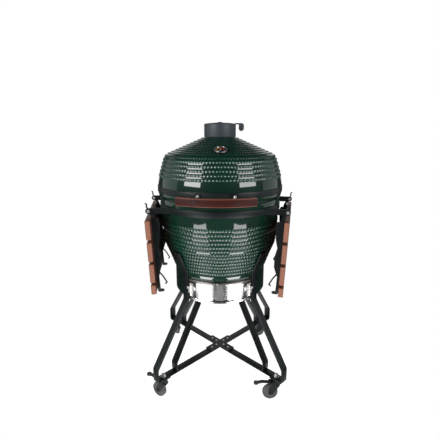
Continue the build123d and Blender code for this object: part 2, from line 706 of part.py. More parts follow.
def stand_leg(az):
    """One bent strip: hugging arm, leg, upright end and foot tab."""
    r = LEG_R
    z = BRACE_Z0 - STRIP_T / 2
    line = [(ARM_TOP_R, ARM_TOP_Z), (r, FOOT_TOP), (r, LEG_BEND_Z), (LEG_END_R, LEG_KNEE_Z)]
    leg = strip(line + [(LEG_END_R, z), (LEG_END_R - LEG_TAB, z)])
    hole = rod((CASTER_S * sqrt(2), 0, z - 20), (CASTER_S * sqrt(2), 0, z + 10), STEM_R)
    return at_az(leg - hole, az)


def leg_struts():
    """Inner strips from the ring down to the cross brace."""
    top = FOOT_Z - GAP - STRIP_T - GAP - STRIP_T / 2
    foot = BRACE_Z0 + STRIP_T + GAP + STRIP_T / 2
    line = [(STRUT_TOP_R + 34, top), (STRUT_TOP_R, top), (STRUT_LOW_R, STRUT_KNEE_Z)]
    line += [(STRUT_LOW_R, foot), (STRUT_LOW_R - 30, foot)]
    return [at_az(strip(line), az) for az in DIAGONALS]


def stand_ring():
    z1 = FOOT_Z - GAP
    z0 = z1 - STRIP_T
    ring = lathe([(RING_IN_R, z0), (RING_OUT_R, z0), (RING_OUT_R, z1), (RING_IN_R, z1)])
    tab_l = FOOT_R - RING_OUT_R + 10
    for az in DIAGONALS:
        tab = Pos(FOOT_R - tab_l / 2, 0, z0 + STRIP_T / 2) * Box(tab_l, STRIP_W, STRIP_T)
        ring += at_az(tab, az)
    return ring


def brace_arms():
    """Four flat strips of the cross brace."""
    parts = []
    z = BRACE_Z0 + GAP + STRIP_T / 2
    reach = LEG_END_R - STRIP_T / 2 - GAP
    for az in DIAGONALS:
        arm = Pos((24 + reach) / 2, 0, z) * Box(reach - 24, STRIP_W, STRIP_T)
        arm -= rod((CASTER_S * sqrt(2), 0, z - 15), (CASTER_S * sqrt(2), 0, z + 15), STEM_R)
        parts.append(at_az(arm, az))
    return parts


def brace_hub():
    z = BRACE_Z0 + 2 * GAP + STRIP_T
    hub = Pos(0, 0, z) * Cylinder(HUB_W / 2, STRIP_T, align=LOW)
    for az in (45, 135):
        hub += at_az(Pos(0, 0, z + STRIP_T / 2) * Box(2 * HUB_REACH, HUB_W, STRIP_T), az)
    return hub


def stand_fasteners():
    """Domed bolt heads on the hub, and the nuts on the caster stems."""
    parts = []
    z = BRACE_Z0 + 3 * GAP + 2 * STRIP_T
    for az in DIAGONALS:
        for r in (28, 62):
            head = Pos(r, 0, z) * (Cylinder(6, 2, align=LOW) + Pos(0, 0, 2) * Cone(6, 3.5, 2, align=LOW))
            parts.append(at_az(head, az))
    nut_z = BRACE_Z0 + 2 * GAP + STRIP_T
    for az in DIAGONALS:
        nut = acorn_nut(11, 17)
        washer = Cylinder(13, 2, align=LOW)
        stem = Pos(0, 0, nut_z) * (washer + Pos(0, 0, 2) * nut)
        stem += rod((0, 0, BRACE_Z0 - 30), (0, 0, nut_z + 3), STEM_R - RUN)
        stem += rod((0, 0, BRACE_Z0 - 34), (0, 0, BRACE_Z0 - 26), STEM_R + 3)
        parts.append(at_az(Pos(CASTER_S * sqrt(2), 0, 0) * stem, az))
    return parts


# ---------------------------------------------------------------- casters
# A caster is drawn with its swivel on the Z axis and its wheel trailing to +X.

def caster_place(shape, key):
    sx, sy, heading = CASTERS[key]
    return Pos(sx * CASTER_S, sy * CASTER_S, 0) * Rot(0, 0, heading) * shape


def caster_fork(key):
    top = BRACE_Z0 - STRIP_T - GAP
    crown = BRACE_Z0 - 26
    y = WHEEL_W / 2 + 1.2
    cheek = [(-16, crown), (-14, crown - 10), (TRAIL - 9, WHEEL_R - 9), (TRAIL + 8, WHEEL_R - 9)]
    cheek += [(TRAIL + 10, WHEEL_R + 6), (20, crown)]
    body = plate(cheek, y, y + FORK_T) + plate(cheek, -y - FORK_T, -y)
    bridge = Pos(2, 0, crown) * Box(36, 2 * (y + FORK_T), 3, align=LOW)
    race = Pos(0, 0, crown) * Cylinder(19, top - crown, align=LOW)
    body += bridge + race
    body -= Pos(0, 0, crown - 5) * Cylinder(STEM_R, top - crown + 10, align=LOW)
    body -= Pos(0, 0, crown - 5) * Cylinder(STEM_R + 3 + 2 * GAP, 5 + GAP, align=LOW)
    if key in PEDALS:
        x1 = PEDAL_X + 6
        tongue = [(12, crown), (12, crown + 8), (x1, crown + 8), (x1, crown - 10), (12, crown - 12)]
        for s in (-y - FORK_T, y):
            body += plate(tongue, s, s + FORK_T)
        body -= disc(PEDAL_X, PEDAL_Z, PEDAL_PIN_R + RUN, -40, 40)
    axle = Pos(TRAIL, 0, WHEEL_R) * Rot(90, 0, 0) * Cylinder(AXLE_R, 2 * (y + FORK_T) + 4)
    heads = [disc(TRAIL, WHEEL_R, 7, s - 1.5, s + 1.5) for s in (-(y + FORK_T + 1.5), y + FORK_T + 1.5)]
    return caster_place(body + axle + heads, key)


def caster_wheel(key):
    """A wheel with a rounded tread and a dished side."""
    w = WHEEL_W / 2
    r = WHEEL_R
    side = [(AXLE_R + RUN, w), (11, w), (12, w - 2.5), (r - 10, w - 2.5), (r - 8, w - 0.5), (r - 3, w - 1)]
    side += [(r, w - 5)]
    wheel = lathe([(x, -z) for x, z in side] + side[::-1])
    return caster_place(Pos(TRAIL, 0, WHEEL_R) * Rot(90, 0, 0) * wheel, key)


def caster_pedal(key):
    """A foot lever over the wheel, on a cross pin behind the swivel."""
    pin = disc(PEDAL_X, PEDAL_Z, PEDAL_PIN_R, -17.5, 17.5)
    line = [(PEDAL_X - 4, PEDAL_Z + 2), (PEDAL_X + 6, PEDAL_Z + 5), (72, PEDAL_Z + 9), (108, PEDAL_Z + 2)]
    blade = plate(ribbon(line, 4), -9.5, 9.5)
    toe = Pos(100, 0, PEDAL_Z) * Cylinder(12, 8, align=LOW)
    return caster_place(blade + pin + toe, key)


# ---------------------------------------------------------------- side shelves
# A shelf is drawn towards +X, with its pivot line along Y.

def shelf_place(shape, side):
    if side < 0:
        shape = mirror(shape, about=Plane.XZ)
    return turned(at_az(shape, side * SHELF_AZ))


def leaned(shape):
    """Lean a shape drawn upright in at the bottom, about the pivot line."""
    pivot = Pos(PIVOT_X, 0, PIVOT_Z)
    return pivot * Rot(0, SHELF_LEAN, 0) * pivot.inverse() * shape


def shelf_bracket(y_side):
    """A pad on the base band with a plate standing out to the pivot."""
    r = BASE_BAND_R + BAND_T + GAP
    y = y_side * PIVOT_T
    z0 = PIVOT_Z - 15
    z1 = PIVOT_Z + 15
    pad = strap(r, z0, z1, 90 + y_side * SHELF_PAD_STEP, 5.6)
    root_x = sqrt(r**2 - PIVOT_T**2) - 4
    points = [(root_x, z0)] + lobe(PIVOT_X, PIVOT_Z, LOBE_R, 18, -90, 180) + [(root_x, z1)]
    fin = plate(points, y - PLATE_T / 2, y + PLATE_T / 2)
    body = fin + pad - Pos(0, 0, z0 - 65) * Cylinder(r, 200, align=LOW)
    for step in SHELF_BOLT_STEPS:
        body -= at_az(rod((r - 5, 0, PIVOT_Z), (r + 9, 0, PIVOT_Z), BOLT_R + RUN), 90 + y_side * step)
    return body - disc(PIVOT_X, PIVOT_Z, PIN_R, y - 9, y + 9)


def shelf_brackets():
    parts = []
    for side in (-1, 1):
        for y_side in (-1, 1):
            parts.append(shelf_place(shelf_bracket(y_side), side))
    return parts


def shelf_pins():
    """Pivot bolts with a head outside the arm and a nut inside the bracket."""
    parts = []
    for side in (-1, 1):
        for y_side in (-1, 1):
            y0 = y_side * (PIVOT_T - PLATE_T / 2 - GAP)
            y1 = y_side * (PIVOT_T + PLATE_T / 2 + 2 * GAP + PLATE_T)
            low, high = min(y0, y1), max(y0, y1)
            body = disc(PIVOT_X, PIVOT_Z, PIN_R - RUN, low - 4, high + 4)
            body += disc(PIVOT_X, PIVOT_Z, 7, low - 4, low) + disc(PIVOT_X, PIVOT_Z, 7, high, high + 4)
            parts.append(shelf_place(body, side))
    return parts


def shelf_arm(y_side):
    """A flat arm with its pivot lobe, stop finger, tool hook and end tab."""
    x1 = ARM_X1
    px = PIVOT_X
    pz = PIVOT_Z
    blade = [(0, -46), (0, -390), (-6, -396), (-26, -396), (-32, -389), (-26, -382), (-14, -381), (-12, -310)]
    blade += [(-30, -262), (-31, -210), (-22, -170), (-32, -130), (-38, -60), (-30, -46)]
    body_pts = [(x1 + x, pz + z) for x, z in blade]
    neck = [(px - 2, pz - 12), (x1 - 3, pz - 26), (x1, pz - 34), (x1, pz - 50), (x1 - 20, pz - 50)]
    neck += [(x1 - 16, pz - 30), (px - 12, pz)]
    arm = plate(body_pts, 0, PLATE_T) + plate(neck, 0, PLATE_T) + disc(px, pz, LOBE_R, 0, PLATE_T)
    finger = [(px - 2, pz + 8), (px + 6, pz + 20), (px + 4, pz + 30), (px + 10, pz + 38)]
    hook = [(x1 - 16, pz - 298), (x1 - 30, pz - 318), (x1 - 46, pz - 350), (x1 - 38, pz - 358)]
    arm += plate(ribbon(finger, 6), 0, PLATE_T) + plate(ribbon(hook, 6), 0, PLATE_T)
    arm -= disc(px, pz, PIN_R, -2, PLATE_T + 2)
    y0 = PIVOT_T + PLATE_T / 2 + GAP
    arm = Pos(0, y0, 0) * arm
    arm += Pos(x1 - 1.5, y0 + PLATE_T + 5, pz - 210) * Box(3, 14, 330)
    if y_side < 0:
        arm = mirror(arm, about=Plane.XZ)
    return arm


def shelf_arms(side):
    return [shelf_place(leaned(shelf_arm(y_side)), side) for y_side in (-1, 1)]


def shelf_slats(side):
    """Four boards, the lowest one narrow, with rounded edges."""
    parts = []
    x0 = PIVOT_X + SLAT_FACE - SLAT_T
    z1 = PIVOT_Z - SLAT_DROP
    for width in SLATS:
        board = Pos(x0 + SLAT_T / 2, 0, z1 - width / 2) * Box(SLAT_T, SLAT_L, width)
        board = chamfer(board.edges().filter_by(Axis.Y), 2.5)
        parts.append(shelf_place(leaned(board), side))
        z1 -= width + SLAT_GAP
    return parts


def build():
    os.makedirs("parts", exist_ok=True)
    keep("base_bowl", base_bowl())
    keep("lid_dome", lid_dome())
    keep("base_gasket", gasket(BASE_RIM_Z + 0.02))
    keep("lid_gasket", gasket(LID_RIM_Z - GASKET_T - 0.02))
    keep("fire_box", fire_box())
    keep("fire_ring", fire_ring())
    keep("charcoal_grate", charcoal_grate())
    keep("cooking_grid", cooking_grid())
    keep("lid_band", turned(band(LID_BAND_R, LID_BAND_Z0, LID_BAND_H)))
    keep("base_band", turned(band(BASE_BAND_R, BASE_BAND_Z0, BASE_BAND_H)))
    keep("lid_band_bolts", *lid_band_bolts())
    keep("base_band_bolts", *base_band_bolts())
    keep("hinge_lower", hinge_lower())
    keep("hinge_upper", hinge_upper())
    keep("hinge_pin", hinge_pin())
    keep("hinge_springs", *hinge_springs())
    keep("handle_grip", handle_grip())
    keep("handle_brackets", *handle_brackets())
    keep("handle_screws", *handle_screws())
    keep("vent_base", vent_base())
    keep("vent_disc", vent_disc())
    keep("vent_knob", vent_knob())
    keep("vent_pivot", vent_pivot())
    keep("thermo_case", thermo_case())
    keep("thermo_dial", thermo_dial())
    keep("thermo_needle", thermo_needle())
    keep("thermo_lens", thermo_lens())
    keep("thermo_probe", thermo_probe())
    keep("draft_frame", draft_frame())
    keep("draft_door_left", draft_door(False))
    keep("draft_door_right", draft_door(True))
    keep("draft_screw", draft_screw())
    keep("latch_plates", *latch_plates())
    keep("latch_lever_left", latch_lever(-1))
    keep("latch_lever_right", latch_lever(1))
    for name, az in (("fl", -45), ("fr", 45), ("rl", -135), ("rr", 135)):
        keep(f"leg_{name}", stand_leg(az))
    keep("leg_struts", *leg_struts())
    keep("stand_ring", stand_ring())
    keep("brace_arms", *brace_arms())
    keep("brace_hub", brace_hub())
    keep("stand_fasteners", *stand_fasteners())
    for key in CASTERS:
        keep(f"caster_fork_{key}", caster_fork(key))
        keep(f"caster_wheel_{key}", caster_wheel(key))
    for key in PEDALS:
        keep(f"caster_pedal_{key}", caster_pedal(key))
    keep("shelf_brackets", *shelf_brackets())
    keep("shelf_pins", *shelf_pins())
    for name, side in (("left", -1), ("right", 1)):
        keep(f"shelf_arms_{name}", *shelf_arms(side))
        keep(f"shelf_slats_{name}", *shelf_slats(side))


build()
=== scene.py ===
# %% [markdown]
# # A ceramic charcoal grill on its steel stand
# The engineering model arrives as a fixed frame of bodies and nodes. This lesson
# dresses it: pieces whose shape matters to the eye are modelled again as smooth
# grid surfaces, and everything gets a material that reads as the real thing.

import math

import bpy
import numpy as np
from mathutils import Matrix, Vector


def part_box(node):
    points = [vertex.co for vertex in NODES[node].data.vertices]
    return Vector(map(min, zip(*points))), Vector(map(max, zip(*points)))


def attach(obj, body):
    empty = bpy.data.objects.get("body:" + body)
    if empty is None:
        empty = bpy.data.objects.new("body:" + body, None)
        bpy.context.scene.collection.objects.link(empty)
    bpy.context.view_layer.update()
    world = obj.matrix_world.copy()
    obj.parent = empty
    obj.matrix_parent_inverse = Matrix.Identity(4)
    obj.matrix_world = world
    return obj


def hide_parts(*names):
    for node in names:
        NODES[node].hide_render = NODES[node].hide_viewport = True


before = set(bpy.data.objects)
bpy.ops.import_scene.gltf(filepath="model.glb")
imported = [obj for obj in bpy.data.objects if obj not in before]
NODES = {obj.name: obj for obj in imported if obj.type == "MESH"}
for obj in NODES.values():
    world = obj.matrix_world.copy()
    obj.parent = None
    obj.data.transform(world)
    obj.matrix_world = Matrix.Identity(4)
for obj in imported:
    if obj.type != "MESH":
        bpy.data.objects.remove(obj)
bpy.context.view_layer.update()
TURN = math.radians(-3.0)          # the bands sit a little round on the ceramic
MM = 0.001

# %% [markdown]
# ## Tools for making surfaces
# A surface here is a grid of points. The points come from numpy in one go, and the
# faces join each point to its neighbours. A seam is closed by wrapping the index.

# %% Grid surfaces
def add_mesh(name, verts, faces, material=None, sharp=40.0, attributes=None):
    """Make an object from points and faces, smooth except at edges sharper than the angle."""
    mesh = bpy.data.meshes.new(name)
    mesh.from_pydata(np.asarray(verts, dtype=float).tolist(), [], faces)
    mesh.polygons.foreach_set("use_smooth", np.ones(len(mesh.polygons), dtype=bool))
    mesh.set_sharp_from_angle(angle=math.radians(sharp))
    for key, values in (attributes or {}).items():
        values = np.asarray(values, dtype=np.float32)
        kind = "FLOAT" if values.ndim == 1 else "FLOAT_VECTOR"
        layer = mesh.attributes.new(key, kind, "POINT")
        layer.data.foreach_set("value" if values.ndim == 1 else "vector", values.ravel())
    obj = bpy.data.objects.new(name, mesh)
    bpy.context.scene.collection.objects.link(obj)
    if material is not None:
        mesh.materials.append(material)
    return obj


def grid_faces(rows, cols, wrap_rows=False, skip=None):
    """Quads of a rows by cols grid of points, each as four point numbers. Columns wrap."""
    i, j = np.meshgrid(np.arange(rows if wrap_rows else rows - 1), np.arange(cols), indexing="ij")
    i2 = (i + 1) % rows
    j2 = (j + 1) % cols
    quads = np.stack([i * cols + j, i * cols + j2, i2 * cols + j2, i2 * cols + j], axis=-1)
    if skip is not None:
        quads = quads[~skip]
    return quads.reshape(-1, 4).tolist()


def tube_faces(rings, around):
    """Sides of a tube of rings, each with as many points, and a face over each end."""
    faces = [face[::-1] for face in grid_faces(rings, around)]
    faces.append(list(range(around)))
    faces.append(list(range((rings - 1) * around, rings * around))[::-1])
    return faces


print("grid tools ready")

# %% [markdown]
# Lines are lists of a few points. Corners are rounded by a formula, and a line that
# carries a surface is cut again into even steps.

# %% Lines and turned pieces
def rounded(points, radius, steps=5):
    """An open line with each inner corner replaced by a short curve of the given reach."""
    points = np.asarray(points, dtype=float)
    out = [points[0]]
    for before, here, after in zip(points[:-2], points[1:-1], points[2:]):
        reach = min(radius, np.linalg.norm(here - before) * 0.45, np.linalg.norm(after - here) * 0.45)
        a = here + (before - here) / np.linalg.norm(before - here) * reach
        b = here + (after - here) / np.linalg.norm(after - here) * reach
        t = np.linspace(0, 1, steps)[:, None]
        out.extend((1 - t) ** 2 * a + 2 * t * (1 - t) * here + t**2 * b)
    out.append(points[-1])
    return np.array(out)


def resample(points, step):
    """Points at even distances along a line."""
    points = np.asarray(points, dtype=float)
    lengths = np.r_[0, np.cumsum(np.linalg.norm(np.diff(points, axis=0), axis=1))]
    count = max(2, int(round(lengths[-1] / step)) + 1)
    s = np.linspace(0, lengths[-1], count)
    return np.stack([np.interp(s, lengths, points[:, k]) for k in range(points.shape[1])], axis=1)


def turned(outline, around=160):
    """A closed outline in mm turned about Z: points and faces. The outline runs
    anticlockwise in (radius, height), so a point is (r cos a, r sin a, z)."""
    outline = np.asarray(outline, dtype=float) * MM
    angle = np.linspace(0, 2 * np.pi, around, endpoint=False)
    r, z = outline[:, :1], outline[:, 1:]
    p = np.stack([r * np.cos(angle), r * np.sin(angle), z + 0 * angle], axis=-1)
    return p.reshape(-1, 3), grid_faces(len(outline), around, wrap_rows=True)


def lathe(name, outline, material, around=96, sharp=40.0, place=None):
    """A turned piece made into an object. place maps its points to where it belongs."""
    p, faces = turned(outline, around)
    if place is not None:
        p = place(p)
    return add_mesh(name, p, faces, material, sharp)


def arc_piece(outline, az0, az1, steps=64):
    """A closed outline in mm of (radius, height) carried from one azimuth to another."""
    outline = np.asarray(outline, dtype=float) * MM
    angle = np.radians(np.linspace(az0, az1, steps)) - np.pi / 2
    r, z = outline[:, 0], outline[:, 1]
    z = np.broadcast_to(z, (steps, len(z)))
    p = np.stack([np.outer(np.cos(angle), r), np.outer(np.sin(angle), r), z], axis=-1)
    return p.reshape(-1, 3), tube_faces(steps, len(outline))


print("turned and arc pieces ready")

# %% [markdown]
# A straight or bent bar is a section carried along a line. Its sides are a grid and its
# two ends are closed by one face each.

# %% Swept surfaces
def turn_about_z(p, angle):
    """Points turned about Z: x cos - y sin, x sin + y cos, z."""
    c, s = math.cos(angle), math.sin(angle)
    return np.stack([p[:, 0] * c - p[:, 1] * s, p[:, 0] * s + p[:, 1] * c, p[:, 2]], axis=1)


def at_azimuth(p, degrees):
    """Points drawn towards +X turned to an azimuth, counted from the front towards +X."""
    return turn_about_z(np.asarray(p, dtype=float), math.radians(degrees - 90))


def slab_section(width, thick, edge, steps=3):
    """A rounded rectangle as points round its outline: (across thickness, across width)."""
    corners = [(1, 1), (-1, 1), (-1, -1), (1, -1)]
    out = []
    for k, (sx, sy) in enumerate(corners):
        cx = sx * (thick / 2 - edge)
        cy = sy * (width / 2 - edge)
        for t in np.linspace(0, np.pi / 2, steps):
            a = t + k * np.pi / 2
            out.append((cx + edge * math.cos(a), cy + edge * math.sin(a)))
    return np.array(out)


def swept(line, section, across=(0, 1, 0)):
    """A section carried along a line in a plane: points and faces. The section's first
    number goes along the line's normal, its second along across."""
    line = np.asarray(line, dtype=float)
    tangent = np.gradient(line, axis=0)
    tangent /= np.linalg.norm(tangent, axis=1)[:, None]
    across = np.asarray(across, dtype=float)
    normal = np.cross(tangent, across)
    normal /= np.linalg.norm(normal, axis=1)[:, None]
    p = line[:, None, :] + section[None, :, 0, None] * normal[:, None, :] + section[None, :, 1, None] * across
    return p.reshape(-1, 3), tube_faces(len(line), len(section))


def gather(parts):
    """Several (points, faces) pairs as one."""
    verts = []
    faces = []
    base = 0
    for p, f in parts:
        verts.append(p)
        faces.extend([[k + base for k in face] for face in f])
        base += len(p)
    return np.concatenate(verts), faces


print("surface tools ready")

# %% [markdown]
# ## Tools for materials
# A small class wraps a shader socket, so that a pattern is written as arithmetic.

# %% Shader arithmetic
class Wire:
    """A shader output that can be added, multiplied and so on."""

    def __init__(self, kit, socket):
        self.kit = kit
        self.socket = socket

    def maths(self, operation, *others, clamp=False):
        node = self.kit.tree.nodes.new("ShaderNodeMath")
        node.operation = operation
        node.use_clamp = clamp
        self.kit.plug(node.inputs[0], self)
        for k, other in enumerate(others):
            self.kit.plug(node.inputs[k + 1], other)
        return Wire(self.kit, node.outputs[0])

    def __add__(self, other):
        return self.maths("ADD", other)

    def __radd__(self, other):
        return self.maths("ADD", other)

    def __sub__(self, other):
        return self.maths("SUBTRACT", other)

    def __rsub__(self, other):
        return (self * -1.0) + other

    def __mul__(self, other):
        return self.maths("MULTIPLY", other)

    def __rmul__(self, other):
        return self.maths("MULTIPLY", other)

    def __truediv__(self, other):
        return self.maths("DIVIDE", other)

    def step(self, low, high):
        """0 below low, 1 above high, a ramp between."""
        return ((self - low) / (high - low)).maths("ADD", 0.0, clamp=True)


class Kit:
    """One material and its nodes."""

    def __init__(self, name, rough=0.5, metal=0.0, coat=0.0, coat_rough=0.03, ior=1.5, base=(0.5, 0.5, 0.5)):
        self.material = bpy.data.materials.new(name)
        self.material.use_nodes = True
        self.tree = self.material.node_tree
        self.shader = self.tree.nodes["Principled BSDF"]
        self.set(Roughness=rough, Metallic=metal, IOR=ior)
        self.shader.inputs["Base Color"].default_value = (*base, 1)
        self.shader.inputs["Coat Weight"].default_value = coat
        self.shader.inputs["Coat Roughness"].default_value = coat_rough

    def plug(self, socket, value):
        if isinstance(value, Wire):
            self.tree.links.new(value.socket, socket)
        elif isinstance(value, (tuple, list)) and socket.type == "RGBA":
            socket.default_value = (*value[:3], 1)
        else:
            socket.default_value = value

    def set(self, **values):
        for key, value in values.items():
            self.plug(self.shader.inputs[key.replace("_", " ")], value)

    def node(self, kind, out=0, settings=None, **inputs):
        """Any node: its type, its settings, and its sockets by name."""
        node = self.tree.nodes.new("ShaderNode" + kind)
        for key, value in (settings or {}).items():
            setattr(node, key, value)
        for key, value in inputs.items():
            self.plug(node.inputs[key.replace("_", " ")], value)
        return Wire(self, node.outputs[out])

    def place(self):
        return self.node("TexCoord", out=3)

    def attribute(self, name, out=1):
        return self.node("Attribute", out=out, settings={"attribute_name": name})

    def scaled(self, vector, x, y, z):
        return self.node("Mapping", Vector=vector, Scale=(x, y, z))

    def noise(self, vector, scale, detail=3.0, roughness=0.5):
        return self.node("TexNoise", Vector=vector, Scale=scale, Detail=detail, Roughness=roughness)

    def mix(self, factor, a, b):
        node = self.tree.nodes.new("ShaderNodeMix")
        node.data_type = "RGBA"
        self.plug(node.inputs[0], factor)
        self.plug(node.inputs[6], a)
        self.plug(node.inputs[7], b)
        return Wire(self, node.outputs[2])

    def bump(self, height, strength, distance=0.001):
        node = self.tree.nodes.new("ShaderNodeBump")
        self.plug(node.inputs["Height"], height)
        node.inputs["Strength"].default_value = strength
        node.inputs["Distance"].default_value = distance
        self.tree.links.new(node.outputs[0], self.shader.inputs["Normal"])


print("shader arithmetic ready")

# %% [markdown]
# ## The materials
# Deep green glaze under a clear glassy skin, black powder coat with a fine orange-peel
# surface, slate paint on the cast cap, polished stainless sheet, oiled reddish wood,
# bright nuts, bare clay and seasoned iron.

# %% Glaze and paint
def make_glaze():
    """Near-black green under a clear skin, paler on top of the bumps: partly glaze running thin there, partly
    painted shade in the hollows between them.
    """
    kit = Kit("green_glaze", rough=0.5, coat=1.0, coat_rough=0.03)
    kit.shader.inputs["Specular IOR Level"].default_value = 0.08
    cloud = kit.noise(kit.place(), 9.0, 4.0)
    lift = kit.attribute("lift", out=2)
    deep = kit.mix(cloud.step(0.3, 0.7), (0.0008, 0.0120, 0.0066), (0.0014, 0.0180, 0.0104))
    # Paler with the bump's height: thin glaze on the tops, and painted shade in the hollows between bumps.
    kit.set(Base_Color=kit.mix(lift * 0.5, deep, (0.008, 0.060, 0.038)))
    ripple = kit.noise(kit.place(), 30.0, 2.0)
    kit.bump(ripple, 0.05, 0.002)
    return kit.material


def make_coat():
    """Black powder coat: two close darks and a fine orange-peel relief."""
    kit = Kit("black_coat", rough=0.42, coat=0.05, coat_rough=0.3)
    kit.shader.inputs["Specular IOR Level"].default_value = 0.2
    fine = kit.noise(kit.place(), 900.0, 2.0)
    broad = kit.noise(kit.place(), 14.0, 3.0)
    kit.set(Base_Color=kit.mix(broad.step(0.3, 0.75), (0.0040, 0.0060, 0.0064), (0.0080, 0.0110, 0.0120)))
    kit.set(Roughness=broad * 0.2 + 0.30)
    kit.bump(fine, 0.25, 0.0006)
    return kit.material


def make_slate():
    """Slate paint on a casting, matt, with a fine sandy relief."""
    kit = Kit("slate_paint", rough=0.4, coat=0.05, coat_rough=0.25)
    broad = kit.noise(kit.place(), 22.0, 3.0)
    kit.set(Base_Color=kit.mix(broad.step(0.3, 0.7), (0.017, 0.024, 0.032), (0.021, 0.030, 0.039)))
    fine = kit.noise(kit.place(), 500.0, 2.0)
    kit.set(Roughness=broad * 0.10 + 0.52)
    kit.bump(fine, 0.3, 0.0008)
    return kit.material


print("glaze, coat and slate paint defined")

# %% [markdown]
# Four bare metals. The polished sheet mirrors the room, a darker and duller copy of it
# is painted shade on the top rail's bead, the thermometer's lip is plated, and nuts and
# latches are bright zinc.

# %% Bare metals
def make_steel():
    """Polished sheet with faint smears that change its gloss."""
    kit = Kit("polished_steel", rough=0.12, metal=1.0)
    smear = kit.noise(kit.place(), 11.0, 3.0)
    kit.set(Base_Color=kit.mix(smear.step(0.35, 0.7), (0.50, 0.50, 0.50), (0.57, 0.57, 0.565)))
    kit.set(Roughness=smear * 0.08 + 0.13)
    return kit.material


def make_shaded_rail_steel():
    """The frame's steel made darker and duller, in warm grey: painted shade on the top rail."""
    kit = Kit("shaded_rail_steel", rough=0.35, metal=0.9)
    smear = kit.noise(kit.place(), 25.0, 3.0)
    kit.set(Base_Color=kit.mix(smear.step(0.3, 0.7), (0.10, 0.095, 0.09), (0.17, 0.16, 0.15)))
    kit.set(Roughness=smear * 0.15 + 0.28)
    return kit.material


def make_chrome():
    """Plated ring: bright, a little soft in its reflections."""
    kit = Kit("chrome", rough=0.1, metal=1.0)
    smear = kit.noise(kit.place(), 60.0, 3.0)
    kit.set(Base_Color=kit.mix(smear.step(0.3, 0.7), (0.55, 0.55, 0.56), (0.68, 0.68, 0.68)))
    kit.set(Roughness=smear * 0.12 + 0.24)
    return kit.material


def make_bright():
    """Zinc-plated nuts, pins and latches."""
    kit = Kit("bright_metal", rough=0.3, metal=0.75)
    smear = kit.noise(kit.place(), 120.0, 3.0)
    kit.set(Base_Color=kit.mix(smear.step(0.3, 0.7), (0.50, 0.49, 0.48), (0.66, 0.65, 0.63)))
    kit.set(Roughness=smear * 0.18 + 0.20)
    return kit.material


print("metals defined")

# %% [markdown]
# Wood takes its grain from the piece itself: an attribute holds how far along the bar a
# point is and where it lies in the section. Other matt surfaces share one recipe.

# %% Wood and matt surfaces
def make_wood(name, dark, light, end):
    """Growth rings as a sine of the depth in the bar, bent by noise, with dark pores.
    The attribute read below fades it to the paler end colour: wear on ends and undersides, and on the grip's upper
    bevels a painted highlight as well."""
    kit = Kit(name, rough=0.45, coat=0.0, coat_rough=0.2)
    kit.shader.inputs["Specular IOR Level"].default_value = 0.12
    grain = kit.attribute("grain")
    wobble = kit.noise(kit.scaled(grain, 5.0, 60.0, 60.0), 1.0, 4.0, 0.55)
    pores = kit.noise(kit.scaled(grain, 22.0, 900.0, 900.0), 1.0, 2.0)
    rings = (kit.node("SeparateXYZ", out=1, Vector=grain) * 420.0 + wobble * 9.0).maths("SINE") * 0.5 + 0.5
    tone = kit.mix(rings * 0.55 + wobble * 0.45, dark, light)
    tone = kit.mix(pores.step(0.62, 0.74) * 0.5, tone, tuple(0.4 * v for v in dark))
    # Paler end colour: wear, and on the grip's upper bevels a painted highlight.
    wear_and_highlight = kit.attribute("wear_and_highlight", out=2)
    kit.set(Base_Color=kit.mix(wear_and_highlight, tone, end))
    kit.set(Roughness=wobble * 0.25 + 0.33)
    kit.bump(pores * 0.6 + rings * 0.4, 0.25, 0.0005)
    return kit.material


def make_plain(name, low, high, scale, rough, metal=0.0, fine=300.0, bump=0.3, depth=0.0008):
    """A worn matt surface: two close tones, uneven gloss and a fine relief."""
    kit = Kit(name, rough=rough, metal=metal)
    broad = kit.noise(kit.place(), scale, 4.0)
    kit.set(Base_Color=kit.mix(broad.step(0.3, 0.7), low, high))
    kit.set(Roughness=broad * 0.2 + (rough - 0.1))
    kit.bump(kit.noise(kit.place(), fine, 3.0), bump, depth)
    return kit.material


print("wood and matt surfaces defined")

# %% [markdown]
# Every finish is made once and shared. The colours are linear red, green and blue.

# %% The finishes
GLAZE = make_glaze()
COAT = make_coat()
SLATE = make_slate()
STEEL = make_steel()
BRIGHT = make_bright()
CHROME = make_chrome()
SHADED_RAIL_STEEL = make_shaded_rail_steel()
GRIP_WOOD = make_wood("grip_wood", (0.010, 0.0014, 0.0009), (0.030, 0.0042, 0.0024), (0.20, 0.080, 0.054))
SLAT_WOOD = make_wood("slat_wood", (0.034, 0.0105, 0.006), (0.080, 0.027, 0.016), (0.20, 0.09, 0.060))
CLAY = make_plain("fire_clay", (0.42, 0.36, 0.27), (0.55, 0.48, 0.38), 12.0, 0.85, bump=0.5)
IRON = make_plain("grate_iron", (0.020, 0.020, 0.021), (0.045, 0.043, 0.040), 30.0, 0.6, metal=0.6)
FELT = make_plain("gasket_felt", (0.05, 0.05, 0.048), (0.09, 0.09, 0.085), 60.0, 0.95, fine=900.0, bump=0.8)
TREAD = make_plain("tyre_tread", (0.055, 0.055, 0.052), (0.100, 0.098, 0.092), 40.0, 0.7)
HUB = make_plain("wheel_hub", (0.045, 0.050, 0.055), (0.075, 0.080, 0.086), 40.0, 0.5)
PLASTIC = make_plain("pedal_plastic", (0.014, 0.015, 0.017), (0.028, 0.030, 0.033), 50.0, 0.45)
WHITE_PAINT = make_plain("needle_paint", (0.75, 0.74, 0.70), (0.85, 0.84, 0.80), 50.0, 0.4)

print("materials", len(bpy.data.materials))

# %% [markdown]
# ## Materials on the frame
# Every node that keeps its own shape gets its material here.

